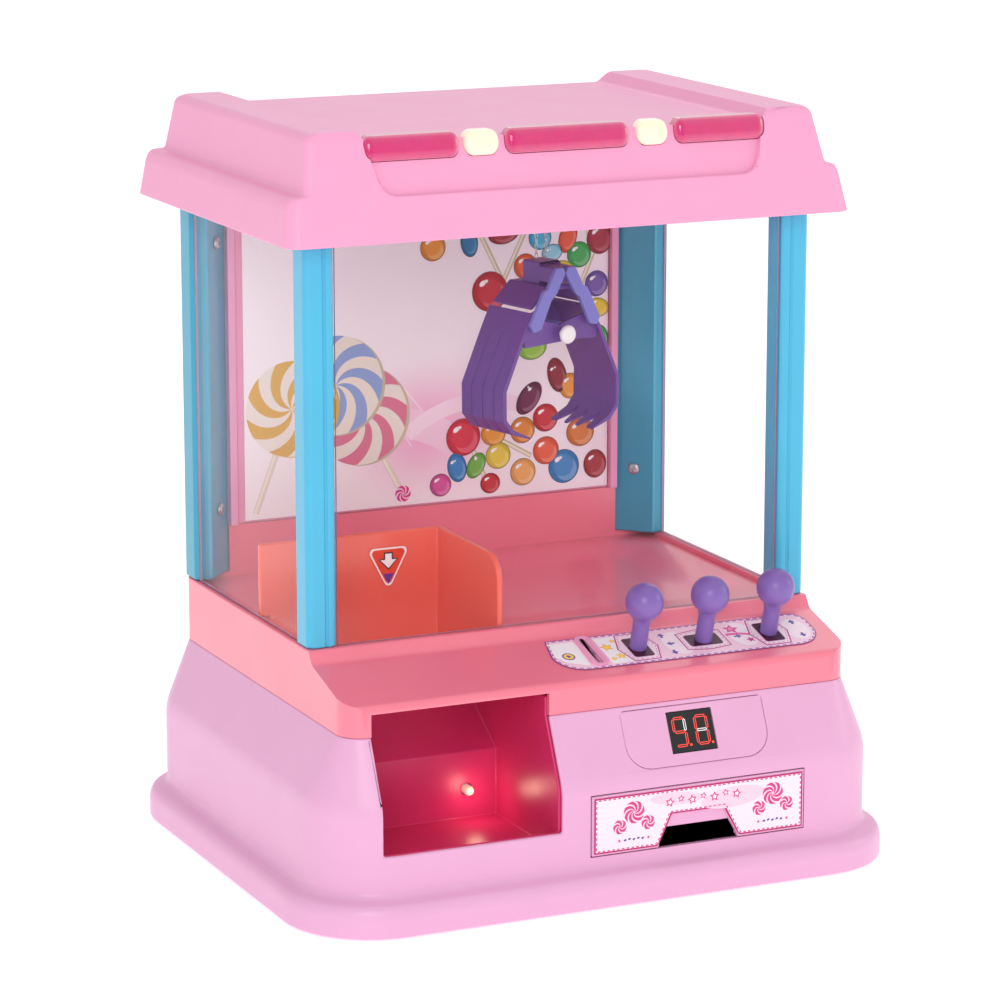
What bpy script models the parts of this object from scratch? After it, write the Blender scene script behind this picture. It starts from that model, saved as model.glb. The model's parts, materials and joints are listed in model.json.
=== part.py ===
"""Table-top claw crane machine, built piece by piece.

Metres, +Z up, the front faces -Y. The origin is the middle of the base on the table top.
Sizes below are in millimetres and MM turns them into metres.
"""

import math

import bmesh
import bpy
from mathutils import Matrix, Vector

MM = 0.001
GAP = 0.3                       # clearance between two pieces that touch

# ---- driving dimensions, millimetres ----
PLINTH_X, PLINTH_Y, PLINTH_R = 155.0, 131.0, 44.0
PLINTH_TOP = 12.0
BODY_X, BODY_Y, BODY_R = 146.0, 122.0, 35.0
BODY_FOOT, BEND_Z, BASE_TOP = 18.0, 58.0, 90.0
DECK_X, DECK_Y, DECK_R = 131.5, 107.0, 12.0
WALL = 2.5                      # moulded wall thickness
FOOT_HIGH = 3.0

PANEL_FRONT, PANEL_BACK = (-104.5, 105.2), (-66.0, 116.0)
RIM_Z = 122.0                   # top of the deck's rim
WELL_X, WELL_FRONT, WELL_BACK = 126.5, -57.5, 100.0
TRAY_RIM, TRAY_FLOOR = 119.5, 114.5

MOUTH = (-119.0, -29.0, 37.0, 101.0)          # prize opening: left, right, sill, top
DRAWER = (-14.0, 98.5, 23.8, 52.8)            # drawer front: left, right, bottom, top
DRAWER_FACE = -122.5
BEZEL = (7.0, 82.0)
DISPLAY_MID, DISPLAY_HALF, DISPLAY_HIGH = 42.75, 11.75, 19.5

CHUTE_BACK, CHUTE_RIGHT, CHUTE_TOP = 13.0, -32.5, 156.0
CHUTE_WALL = 3.0

POST_OUT, POST_WIDE, POST_R = 131.0, 15.0, 4.0
POST_FRONT = -61.0
POST_FOOT, POST_HEAD = RIM_Z + GAP, 312.2
REAR_POST_Y = (87.0, 104.5)
DOOR_LOW, DOOR_HIGH = 145.8, 307.5
DOOR_AXIS = (-101.7, 103.5)

ROOF_LOW, ROOF_HIGH = 312.5, 362.5
ROOF_X, ROOF_FRONT, ROOF_BACK = 145.3, -78.0, 126.0
ROOF_LEAN = 14.0 / 49.0         # how far the front leans back for each mm of height
CHANNEL_Z = 357.0
RECESS_Z, RECESS_DEEP = 333.0, 3.0
CEILING_Z = (312.7, 315.2)

CLAW_X, CLAW_Y, CLAW_YAW = 29.0, 25.5, math.radians(14.0)
PIN_Z = 247.5
SCOOP_HALF = 16.5
DRUM_R, CHAIN_R = 6.0, 0.9

STICK_X = (28.5, 63.5, 99.0)
STICK_Y = -84.0
STICK_PIVOT_DEEP = 10.0
BALL_R, BALL_HIGH = 9.25, 25.0

LENS_SPANS = {"lens_left": (-103.0, -55.5), "lens_middle": (-31.6, 31.4), "lens_right": (56.0, 103.0),
              "lamp_left": (-52.6, -35.2), "lamp_right": (36.0, 52.0)}
LENS_SECTION = [(-67.6, 348.5), (-67.2, 354.0), (-64.9, 358.6), (-61.0, 360.3),
                (-55.5, 360.3), (-55.5, 352.5), (-61.5, 348.5)]

# name: (colour, roughness, metallic)
FINISHES = {
    "pink_body": ((0.80, 0.43, 0.65), 0.32, 0.0),
    "pink_roof": ((0.90, 0.42, 0.62), 0.32, 0.0),
    "coral": ((0.86, 0.16, 0.24), 0.3, 0.0),
    "crimson": ((0.55, 0.0, 0.05), 0.35, 0.0),
    "cyan": ((0.14, 0.55, 0.75), 0.35, 0.0),
    "teal": ((0.03, 0.30, 0.42), 0.35, 0.0),
    "clear": ((0.9, 0.95, 1.0), 0.05, 0.0),
    "violet": ((0.19, 0.07, 0.32), 0.35, 0.0),
    "light_violet": ((0.22, 0.22, 0.58), 0.35, 0.0),
    "lilac": ((0.33, 0.2, 0.6), 0.3, 0.0),
    "white": ((0.85, 0.85, 0.85), 0.4, 0.0),
    "magenta_lens": ((0.8, 0.0, 0.25), 0.15, 0.0),
    "amber_lens": ((0.95, 0.75, 0.5), 0.15, 0.0),
    "label": ((0.92, 0.75, 0.82), 0.4, 0.0),
    "red_label": ((0.85, 0.15, 0.1), 0.4, 0.0),
    "black": ((0.02, 0.02, 0.02), 0.3, 0.0),
    "green_board": ((0.03, 0.2, 0.08), 0.5, 0.0),
    "grey_plastic": ((0.25, 0.25, 0.27), 0.5, 0.0),
    "rubber": ((0.05, 0.05, 0.05), 0.8, 0.0),
    "steel": ((0.6, 0.6, 0.62), 0.3, 1.0),
}


# ---- small tools ----

def clear_scene():
    for old in list(bpy.data.objects):
        bpy.data.objects.remove(old, do_unlink=True)


def finish_material(finish):
    """One Principled material of the finish's colour, roughness and metallic value."""
    colour, roughness, metallic = FINISHES[finish]
    mat = bpy.data.materials.new(finish)
    mat.use_nodes = True
    shader = mat.node_tree.nodes["Principled BSDF"]
    shader.inputs["Base Color"].default_value = (*colour, 1.0)
    shader.inputs["Roughness"].default_value = roughness
    shader.inputs["Metallic"].default_value = metallic
    mat.diffuse_color = (*colour, 1.0)
    return mat


def solid(name, points, faces, finish=None, origin=(0, 0, 0), parent=None, place=None):
    """A closed mesh object from points in mm; its origin goes to `origin`, mm as well."""
    mesh = bpy.data.meshes.new(name)
    verts = [[(p[i] - origin[i]) * MM for i in range(3)] for p in points]
    mesh.from_pydata(verts, [], faces)
    bm = bmesh.new()
    bm.from_mesh(mesh)
    bmesh.ops.recalc_face_normals(bm, faces=bm.faces)
    bm.to_mesh(mesh)
    bm.free()
    obj = bpy.data.objects.new(name, mesh)
    bpy.context.scene.collection.objects.link(obj)
    obj.location = [c * MM for c in origin]
    if place is not None:
        obj.matrix_world = place
    if parent is not None:
        obj.parent = parent
    if finish:
        mesh.materials.append(finish_material(finish))
    return obj


def loft(name, rings, finish=None, closed=False, **where):
    """Skin a list of rings that have equal point counts; cap the ends, or join last to first."""
    count = len(rings[0])
    points = [p for ring in rings for p in ring]
    bands = len(rings) if closed else len(rings) - 1
    faces = []
    for b in range(bands):
        low, high = b * count, ((b + 1) % len(rings)) * count
        for i in range(count):
            j = (i + 1) % count
            faces.append((low + i, low + j, high + j, high + i))
    if not closed:
        faces.append(tuple(range(count))[::-1])
        faces.append(tuple(range((len(rings) - 1) * count, len(rings) * count)))
    return solid(name, points, faces, finish, **where)


def place_along(axis, a, b, c):
    """The point that is (a, b) in the plane across an axis and c along it."""
    return {"X": (c, a, b), "Y": (a, c, b), "Z": (a, b, c)}[axis]


def prism(name, outline, low, high, axis, finish=None, **where):
    """Extrude a flat outline from low to high along X, Y or Z."""
    rings = [[place_along(axis, a, b, c) for a, b in outline] for c in (low, high)]
    return loft(name, rings, finish, **where)


def box(name, low, high, finish=None, **where):
    outline = [(low[0], low[1]), (high[0], low[1]), (high[0], high[1]), (low[0], high[1])]
    return prism(name, outline, low[2], high[2], "Z", finish, **where)


def arc(cx, cy, radius, start, end, steps):
    """Points on an arc, angles in degrees."""
    turns = [math.radians(start + (end - start) * i / steps) for i in range(steps + 1)]
    return [(cx + radius * math.cos(t), cy + radius * math.sin(t)) for t in turns]


def rounded(x_low, x_high, y_low, y_high, radius, steps=6):
    """Rectangle outline with round corners, counter-clockwise from the right front corner."""
    corners = [(x_high - radius, y_low + radius, -90), (x_high - radius, y_high - radius, 0),
               (x_low + radius, y_high - radius, 90), (x_low + radius, y_low + radius, 180)]
    return [p for cx, cy, a in corners for p in arc(cx, cy, radius, a, a + 90, steps)]


def ring(outline, z):
    return [(x, y, z) for x, y in outline]


def turned(name, profile, centre, finish=None, axis="Z", segments=16, **where):
    """Turn (radius, height) pairs about an axis through centre; radii of zero close the ends."""
    turns = [2 * math.pi * i / segments for i in range(segments)]
    rings = []
    for radius, height in profile:
        spots = [place_along(axis, radius * math.cos(t), radius * math.sin(t), height) for t in turns]
        rings.append([tuple(c + p for c, p in zip(centre, spot)) for spot in spots])
    obj = loft(name, rings, finish, **where)
    smooth(obj)
    return obj


def smooth(obj, angle=35):
    obj.data.shade_smooth()
    obj.data.set_sharp_from_angle(angle=math.radians(angle))


def combine(target, tool, operation):
    """Boolean with the exact solver; the tool stays as a wire guide that never renders."""
    tool.hide_render = True
    tool.display_type = "WIRE"
    mod = target.modifiers.new(tool.name, "BOOLEAN")
    mod.operation = operation
    mod.solver = "EXACT"
    mod.object = tool


def cut(target, *tools):
    for tool in tools:
        combine(target, tool, "DIFFERENCE")


def add(target, *tools):
    for tool in tools:
        combine(target, tool, "UNION")


def slope_frame(low, high):
    """Frame on a leaning face seen from the side: local X is +X, Y runs up the face, Z points out."""
    dy, dz = high[0] - low[0], high[1] - low[1]
    long = math.hypot(dy, dz)
    up = (dy / long, dz / long)
    across, over = (0, up[0], -up[1], low[0] * MM), (0, up[1], up[0], low[1] * MM)
    return Matrix(((1, 0, 0, 0), across, over, (0, 0, 0, 1)))


def face_front(z):
    """Y of the roof's leaning front at height z."""
    return ROOF_FRONT + (z - ROOF_LOW) * ROOF_LEAN


# ---- base ----

def base_ring(z, grow):
    """Outline of the base skin at height z, moved outwards by grow."""
    stations = [(1.0, PLINTH_X, PLINTH_Y, PLINTH_R), (PLINTH_TOP, PLINTH_X, PLINTH_Y, PLINTH_R),
                (15.5, 153.0, 129.0, 42.0), (BODY_FOOT, BODY_X, BODY_Y, BODY_R),
                (BEND_Z, BODY_X, BODY_Y, BODY_R), (BASE_TOP, DECK_X, DECK_Y, DECK_R)]
    for (z0, *low), (z1, *high) in zip(stations, stations[1:]):
        if z <= z1:
            part = (z - z0) / (z1 - z0)
            x, y, r = [a + (b - a) * part for a, b in zip(low, high)]
            return ring(rounded(-x - grow, x + grow, -y - grow, y + grow, r + grow, 8), z)
    raise ValueError(z)


def make_base():
    heights = [1.0, PLINTH_TOP, 15.5, BODY_FOOT, BEND_Z, BASE_TOP]
    outer = [base_ring(z, 0.0) for z in heights]
    inner = [base_ring(z, -WALL) for z in heights[::-1] if z != 15.5]
    shell = loft("base_shell", outer + inner, "pink_body", closed=True)
    left, right, sill, top = MOUTH
    cut(shell, box("cut_bin_mouth", (left, -150, sill), (right, -80, top)))
    left, right, low, high = DRAWER
    cut(shell, box("cut_drawer", (left - 0.6, -150, low - 0.6), (right + 0.6, -105, high + 0.6)))
    cut(shell, box("cut_power_slot", (53.5, 110, 36.0), (68.5, 140, 41.0)))
    smooth(shell, 25)
    make_counter(shell)
    make_floor()
    make_bin()
    make_drawer()
    box("power_switch", (58.0, 114.0, 36.6), (64.0, 124.8, 40.4), "black", origin=(61.0, 119.0, 38.5))


def make_floor():
    inside = base_ring(5.0, -WALL - GAP)
    flat = [(x, y) for x, y, _ in inside]
    floor = prism("base_floor", flat, FOOT_HIGH + GAP, 6.0, "Z", "pink_body")
    for index, x in enumerate((6.0, 78.0)):
        add(floor, box(f"rib_{index}", (x, -112, 5.0), (x + 3.0, -38, 24.2)))
    cut(floor, box("cut_battery", (20, 15, -5), (110, 85, 20)))
    tub = box("battery_box", (18, 13, 6.3), (112, 87, 38), "grey_plastic")
    cut(tub, box("cut_battery_box", (20, 15, 0), (110, 85, 36)))
    box("battery_door", (20.4, 15.4, FOOT_HIGH + GAP), (109.6, 84.6, 6.0), "pink_body")
    for index, (sx, sy) in enumerate(((-1, -1), (1, -1), (-1, 1), (1, 1))):
        spot = (sx * 118.0, sy * 94.0, 0.0)
        turned(f"rubber_foot_{index + 1}", [(8.0, 0.0), (9.0, 1.0), (9.0, FOOT_HIGH)], spot, "rubber")


def make_bin():
    """Prize bin: side walls, a floor, a low back wall and the ramp that comes down from the chute."""
    left, right, sill, _ = MOUTH
    outer = [(-119.2, 25), (-119.2, 57.6), (-104.2, 89.6), (-104.2, 98.9), (12.4, 98.9), (12.4, 95.6),
             (-48, 58.2), (-48, 25)]
    inner = [(-117.2, 27), (-50, 27), (-50, 60), (10.4, 97.4), (10.4, 120), (-140, 120),
             (-140, sill), (-117.2, sill)]
    liner = prism("prize_bin", outer, left - 1.0, right + 1.0, "X", "crimson")
    room = [base_ring(z, -WALL - GAP) for z in (BODY_FOOT, BEND_Z, BASE_TOP)]
    room.append([(x, y, 110.0) for x, y, _ in room[-1]])
    combine(liner, loft("trim_bin", room), "INTERSECT")
    cut(liner, prism("cut_bin_inside", inner, left + 1.0, right - 1.0, "X"))
    led_x, led_z = -45.5, 41.0
    cut(liner, turned("cut_led", [(2.9, -60), (2.9, -40)], (led_x, 0, led_z), axis="Y"))
    dome = [(2.5, -46.0), (2.5, -52.5), (2.2, -53.9), (1.3, -55.0)]
    turned("bin_led", dome, (led_x, 0, led_z), "amber_lens", axis="Y")


def make_drawer():
    left, right, low, high = DRAWER
    home = ((left + right) / 2, DRAWER_FACE, low)
    front = prism("token_drawer", [(left, low), (right, low), (right, high), (left, high)], DRAWER_FACE,
                  DRAWER_FACE + 2.5, "Y", "pink_body", origin=home)
    add(front, box("tray_block", (left + 4, DRAWER_FACE + 1.0, low + 0.8), (right - 4, -40, high - 3)))
    cut(front, box("cut_tray", (left + 6, DRAWER_FACE + 2.5, low + 2.8), (right - 6, -42, high + 9)))
    notch = [(20.4, low - 2), (63.5, low - 2), (62.4, low + 2.2), (54.7, 39.3), (28.0, 39.3),
             (21.5, low + 2.2)]
    cut(front, prism("cut_notch", notch, -130, DRAWER_FACE + 2.6, "Y"))
    lip = 1.0
    sheet = rounded(left + lip, right - lip, low + lip, high - lip, 1.5, 3)
    label = prism("drawer_label", sheet, DRAWER_FACE - 0.8, DRAWER_FACE - GAP, "Y", "label", origin=home)
    cut(label, prism("cut_label_notch", notch, -130, DRAWER_FACE + 2.6, "Y"))


def make_counter(shell):
    """Counter bezel let into the leaning front, with the two-digit display behind it."""
    place = slope_frame((-BODY_Y, BEND_Z), (-DECK_Y, BASE_TOP))
    bottom, top, round_r = 4.5, 33.0, 12.0
    left, right = BEZEL
    plate = arc(left + round_r, bottom + round_r, round_r, 180, 270, 5)
    plate += arc(right - round_r, bottom + round_r, round_r, 270, 360, 5)
    plate += [(right, top), (left, top)]
    bezel = prism("counter_bezel", plate, -1.2, 0.0, "Z", "pink_body", place=place)
    seat = [(x + math.copysign(GAP, x - DISPLAY_MID), y + math.copysign(GAP, y - 20)) for x, y in plate]
    cut(shell, prism("cut_bezel_seat", seat, -1.5, 5.0, "Z", place=place))
    half, low = DISPLAY_HALF, 10.4
    window = [(DISPLAY_MID - half, low), (DISPLAY_MID + half, low),
              (DISPLAY_MID + half, low + DISPLAY_HIGH), (DISPLAY_MID - half, low + DISPLAY_HIGH)]
    hole = [(x + math.copysign(GAP, x - DISPLAY_MID), y + math.copysign(GAP, y - low - 5)) for x, y in window]
    cut(shell, prism("cut_shell_window", hole, -9.0, 5.0, "Z", place=place))
    cut(bezel, prism("cut_bezel_window", hole, -9.0, 5.0, "Z", place=place))
    prism("counter_display", window, -8.0, -0.5, "Z", "black", place=place)


# ---- deck ----

def make_deck():
    """Coral deck: sloped control panel, a step, and the rim that carries the cage."""
    side = [(-DECK_Y, 90.3), (-DECK_Y, 103.2), (-106.2, 104.5), PANEL_FRONT, PANEL_BACK,
            (-63.0, 121.2), (-61.8, RIM_Z), (DECK_Y, RIM_Z), (DECK_Y, 90.3)]
    deck = prism("deck_frame", side, -DECK_X, DECK_X, "X", "coral")
    plan = rounded(-DECK_X - 0.02, DECK_X + 0.02, -DECK_Y - 0.02, DECK_Y + 0.02, DECK_R, 8)
    combine(deck, prism("trim_plan", plan, 60, 160, "Z"), "INTERSECT")
    add(deck, box("back_sill", (-107, 100.6, 120), (107, 104.6, 145.2)))
    under = [(-104.5, 80), (-104.5, 102.5), (PANEL_BACK[0], 113.3), (-60.0, 113.3), (-60.0, 80)]
    hollow = prism("cut_under_panel", under, -DECK_X + WALL, DECK_X - WALL, "X")
    core = rounded(-DECK_X + WALL, DECK_X - WALL, -DECK_Y + WALL - 0.05, 0.0, DECK_R - WALL, 8)
    combine(hollow, prism("trim_hollow", core, 60, 160, "Z"), "INTERSECT")
    cut(deck, hollow)
    cut(deck, box("cut_well", (-WELL_X, WELL_FRONT, 60), (WELL_X, WELL_BACK, 200)))
    left, right, _, top = MOUTH
    cut(deck, box("cut_deck_mouth", (left, -120, 80), (right, -100, top)))
    cut(deck, box("cut_bin_way", (left - 1.4, -104.5, 80), (right + 1.4, 20, 99.3)))
    place = slope_frame(PANEL_FRONT, PANEL_BACK)
    slots = panel_slots()
    for name, outline in slots.items():
        cut(deck, prism(f"cut_{name}", outline, -9, 5, "Z", place=place))
    make_label(place, slots)
    make_tray()
    make_chute()
    make_sticks()
    tube = box("coin_chute", (-0.3, -96.5, 53.5), (8.9, -69.0, 101.0), "grey_plastic")
    cut(tube, box("cut_coin_chute", (2.0, -94.5, 40), (6.6, -71.0, 120)))
    box("circuit_board", (12, -101, 90.9), (118, -63, 92.5), "green_board")


def panel_slots():
    """Openings in the control panel, in the panel's own plane; its height starts at the front edge."""
    foot = (STICK_Y - PANEL_FRONT[0]) / math.cos(math.atan2(10.8, 38.5))
    slots = {"coin_slot": rounded(3.0, 5.6, foot - 10.5, foot + 12.5, 1.0, 2)}
    for index, x in enumerate(STICK_X):
        wide, long = (8.6, 5.2) if index == 1 else (5.2, 8.6)
        slots[f"stick_slot_{index + 1}"] = rounded(x - wide, x + wide, foot - long, foot + long, 1.5, 2)
    return slots


def make_label(place, slots):
    low, high, left, right, corner = 7.0, 36.0, -17.0, 123.5, 14.0
    outline = arc(left + corner, low + corner, corner, 180, 270, 6)
    outline += arc(right - corner, low + corner, corner, 270, 360, 6)
    outline += arc(right - 8, high - 8, 8, 0, 90, 4) + [(left + 3, high)]
    label = prism("control_label", outline, GAP, 0.8, "Z", "label", place=place)
    for name, slot in slots.items():
        cut(label, prism(f"cut_label_{name}", slot, -9, 5, "Z", place=place))


def make_tray():
    """Shallow play floor with a dished middle and a square corner left out for the chute."""
    x, front, back = WELL_X - GAP, WELL_FRONT + GAP, WELL_BACK - GAP
    edge = rounded(-x, x, front, back, 2.0, 2)
    dish = rounded(-x + 34, x - 34, front + 44, back - 30, 14.0, 2)
    thin = WALL
    rings = [ring(dish, TRAY_FLOOR - thin), ring(edge, TRAY_RIM - thin), ring(edge, TRAY_RIM),
             ring(dish, TRAY_FLOOR)]
    tray = loft("play_tray", rings, "coral")
    cut(tray, box("cut_chute_corner", (-121.5, -80, 90), (-29.2, 16.3, 140)))


def make_chute():
    """Square shaft through the deck, with a tall back wall and a tall right wall above it."""
    right, back = CHUTE_RIGHT + CHUTE_WALL, CHUTE_BACK + CHUTE_WALL
    low, mid, left, front = 99.4, 119.0, -121.2, -56.8
    wall_back = [(right, low), (right, CHUTE_TOP), (-126.0, CHUTE_TOP), (-126.0, 120.0), (left, 120.0),
                 (left, low)]
    chute = prism("prize_chute", wall_back, CHUTE_BACK, back, "Y", "coral")
    side = [(front, low), (back, low), (back, CHUTE_TOP)] + arc(front + 13, CHUTE_TOP - 13, 13, 90, 180, 6)
    add(chute, prism("chute_side", side, CHUTE_RIGHT, right, "X"))
    add(chute, box("chute_left", (left, front, low), (left + CHUTE_WALL, back, mid)))
    add(chute, box("chute_front", (left, front, low), (right, front + CHUTE_WALL, mid)))
    make_chute_sign()


def make_chute_sign():
    """Warning triangle, point down, on the chute's back wall."""
    half, high, round_r = 14.0, 25.0, 2.5
    mid_x, top = -59.0, 148.5
    inset = round_r * math.sqrt(3)
    outline = arc(mid_x - half + inset, top - round_r, round_r, 210, 90, 4)
    outline += arc(mid_x + half - inset, top - round_r, round_r, 90, -30, 4)
    outline += arc(mid_x, top - high + 2 * round_r, round_r, -30, -150, 4)
    prism("chute_label", outline, CHUTE_BACK - 0.8, CHUTE_BACK - GAP, "Y", "red_label")


def make_sticks():
    tilt = math.atan2(PANEL_BACK[1] - PANEL_FRONT[1], PANEL_BACK[0] - PANEL_FRONT[0])
    surface_z = PANEL_FRONT[1] + (STICK_Y - PANEL_FRONT[0]) * math.tan(tilt)
    pivot = (STICK_Y + STICK_PIVOT_DEEP * math.sin(tilt), surface_z - STICK_PIVOT_DEEP * math.cos(tilt))
    middle = STICK_PIVOT_DEEP + BALL_HIGH
    ball = [(BALL_R * math.sin(math.radians(a)), middle - BALL_R * math.cos(math.radians(a)))
            for a in range(30, 180, 25)]
    stem = [(1.5, -5.0), (4.0, -4.0), (4.2, 0.0), (4.2, 12.0), (4.0, 22.0)]
    profile = stem + ball + [(0.6, middle + BALL_R)]
    for index, x in enumerate(STICK_X):
        stick = turned(f"joystick_{index + 1}", profile, (0, 0, 0), "lilac")
        stick.location = (x * MM, pivot[0] * MM, pivot[1] * MM)
        stick.rotation_euler = (tilt, 0, 0)


# ---- cage ----

def make_cage():
    for side, sign in (("left", -1), ("right", 1)):
        x_low, x_high = sorted((sign * (POST_OUT - POST_WIDE), sign * POST_OUT))
        plan = rounded(x_low, x_high, POST_FRONT, POST_FRONT + POST_WIDE, POST_R, 3)
        post = prism(f"front_{side}_post", plan, POST_FOOT, POST_HEAD, "Z", "cyan")
        groove = sign * (POST_OUT - 9.5)
        cut(post, box(f"cut_groove_{side}", (groove - 0.6, -70, 115), (groove + 0.6, POST_FRONT + 0.8, 320)))
        smooth(post)
        make_rear_post(side, sign)
        x_low, x_high = sorted((sign * 128.0, sign * 129.5))
        box(f"{side}_window", (x_low, -45.6, POST_FOOT), (x_high, 86.6, POST_HEAD), "clear")
    box("front_window", (-115.6, -59.4, POST_FOOT), (115.6, -57.9, POST_HEAD), "clear")
    make_back()


def make_rear_post(side, sign):
    """Corner post with an inner wing that runs diagonally to the back frame."""
    y0, y1 = REAR_POST_Y
    plan = [(131, y0 + 2), (131, y1 - 3), (128, y1), (108.2, y1), (108.2, 101.5), (122.5, 86.0), (124, y0),
            (129, y0)]
    post = prism(f"rear_{side}_post", [(sign * x, y) for x, y in plan], POST_FOOT, POST_HEAD, "Z", "teal")
    mid_x, mid_y = (108.2 + 122.5) / 2, (101.5 + 86.0) / 2
    outward = Vector((-sign * (101.5 - 86.0), -(122.5 - 108.2), 0))
    turn = outward.to_track_quat("Z", "Y").to_matrix().to_4x4()
    for spot, z in (("low", 156.0), ("high", 290.0)):
        place = Matrix.Translation((sign * mid_x * MM, mid_y * MM, z * MM)) @ turn
        hole = turned(f"cut_screw_{side}_{spot}", [(1.7, -6.5), (1.7, 3.0)], (0, 0, 0), segments=10)
        hole.matrix_world = place
        cut(post, hole)
        profile = [(1.3, -6.0), (1.3, 0.35), (3.1, 0.4), (3.1, 1.0), (2.2, 1.8)]
        screw = turned(f"post_screw_{side}_{spot}", profile, (0, 0, 0), "steel", segments=10)
        screw.matrix_world = place


def make_back():
    """Back frame, and the refill door that turns on two moulded studs."""
    frame = box("back_frame", (-107.8, 98.0, 145.6), (107.8, 105.0, POST_HEAD), "pink_roof")
    cut(frame, box("cut_door_way", (-104.0, 90, 120), (104.0, 120, DOOR_HIGH + 0.4)))
    axis_x, axis_y = DOOR_AXIS
    stud, bore = 0.9, 1.15
    cut(frame, turned("cut_frame_bore", [(bore, 300.0), (bore, 311.0)], (axis_x, axis_y, 0), segments=12))
    edge = arc(axis_x, axis_y, 1.5, 90, 270, 6)
    plan = edge + [(103.7, axis_y - 1.5), (103.7, axis_y + 1.5)]
    hinge = (axis_x, axis_y, 200.0)
    door = prism("rear_door", plan, DOOR_LOW, DOOR_HIGH, "Z", "pink_roof", origin=hinge)
    add(door, turned("door_stud", [(stud, DOOR_HIGH - 1.0), (stud, 310.5)], (axis_x, axis_y, 0), segments=12))
    add(door, box("door_pull", (92.0, axis_y + 1.0, 215.0), (98.0, axis_y + 8.0, 240.0)))
    smooth(door)
    box("rear_print", (-99.0, 100.9, DOOR_LOW + 1), (103.2, 101.7, DOOR_HIGH - 1), "label", origin=hinge)


# ---- roof ----

def roof_rings(levels):
    return [ring(rounded(-x, x, front, back, r, 5), z) for z, x, front, back, r in levels]


def make_roof():
    outer = [(ROOF_LOW, ROOF_X, ROOF_FRONT, ROOF_BACK, 8.0), (331.0, 142.5, face_front(331), 123.0, 7.5),
             (334.3, 140.5, face_front(334.3), 121.0, 6.5), (335.5, 134.5, face_front(335.5), 115.0, 4.0),
             (CHANNEL_Z, 131.0, face_front(CHANNEL_Z), 111.0, 4.0),
             (361.0, 129.3, face_front(361) + 0.4, 109.5, 4.0),
             (ROOF_HIGH, 127.0, face_front(ROOF_HIGH) + 2.0, 107.5, 3.0)]
    shell = loft("roof_shell", roof_rings(outer), "pink_roof")
    channel = [(-108.0, 364.0), (-101.0, CHANNEL_Z), (101.0, CHANNEL_Z), (108.0, 364.0)]
    cut(shell, prism("cut_channel", channel, -90, 130, "Y"))
    z0, z1 = RECESS_Z, 366.0
    y0, y1 = face_front(z0) + RECESS_DEEP, face_front(z1) + RECESS_DEEP
    far = -95.0
    recess = [[(-97, far, z0), (97, far, z0), (97, y0, z0), (-97, y0, z0)],
              [(-105, far, z1), (105, far, z1), (105, y1, z1), (-105, y1, z1)]]
    cut(shell, loft("cut_recess", recess))
    inner = [(305.0, ROOF_X - WALL, ROOF_FRONT + WALL, ROOF_BACK - WALL, 5.5),
             (329.5, 140.0, face_front(329.5) + WALL, 120.5, 5.0),
             (333.0, 131.8, face_front(333) + 5.6, 112.5, 3.0),
             (351.5, 128.6, face_front(351.5) + 5.6, 108.2, 2.5),
             (354.3, 126.0, face_front(354.3) + 8.0, 106.0, 2.0)]
    cut(shell, loft("cut_roof_inside", roof_rings(inner)))
    smooth(shell, 25)
    make_lenses(shell)
    make_ceiling()


def lens_rings(left, right, grow):
    """Sections of a light bar from end to end, shrunk towards its ends so that they are round."""
    cy = sum(y for y, _ in LENS_SECTION) / len(LENS_SECTION)
    cz = sum(z for _, z in LENS_SECTION) / len(LENS_SECTION)
    rings = []
    for into, size in ((0.0, 0.62), (1.0, 0.82), (3.5, 1.0)):
        rings.append((left + into - grow, size))
    rings += [(right - (x - left), size) for x, size in rings[::-1]]
    scaled = []
    for x, size in rings:
        wide = size + grow / 5.0
        scaled.append([(x, cy + (y - cy) * wide, cz + (z - cz) * wide) for y, z in LENS_SECTION])
    return scaled


def make_lenses(shell):
    for name, (left, right) in LENS_SPANS.items():
        cut(shell, loft(f"cut_{name}", lens_rings(left, right, 0.35)))
        loft(name, lens_rings(left, right, 0.0), "amber_lens" if name.startswith("lamp") else "magenta_lens")


def make_ceiling():
    """Plate inside the roof with the travel opening and two moulded rails for the bridge."""
    low, high = CEILING_Z
    plan = rounded(-141.0, 141.0, -72.8, 121.5, 6.0, 3)
    ceiling = prism("ceiling_frame", plan, low, high, "Z", "pink_roof")
    cut(ceiling, box("cut_travel", (-100, -46, 300), (105, 86, 330)))
    for side, x in (("left", -112.0), ("right", 112.0)):
        add(ceiling, box(f"rail_{side}", (x - 3, -62, low + 1), (x + 3, 106, 321.4)))


# ---- gantry ----

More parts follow.
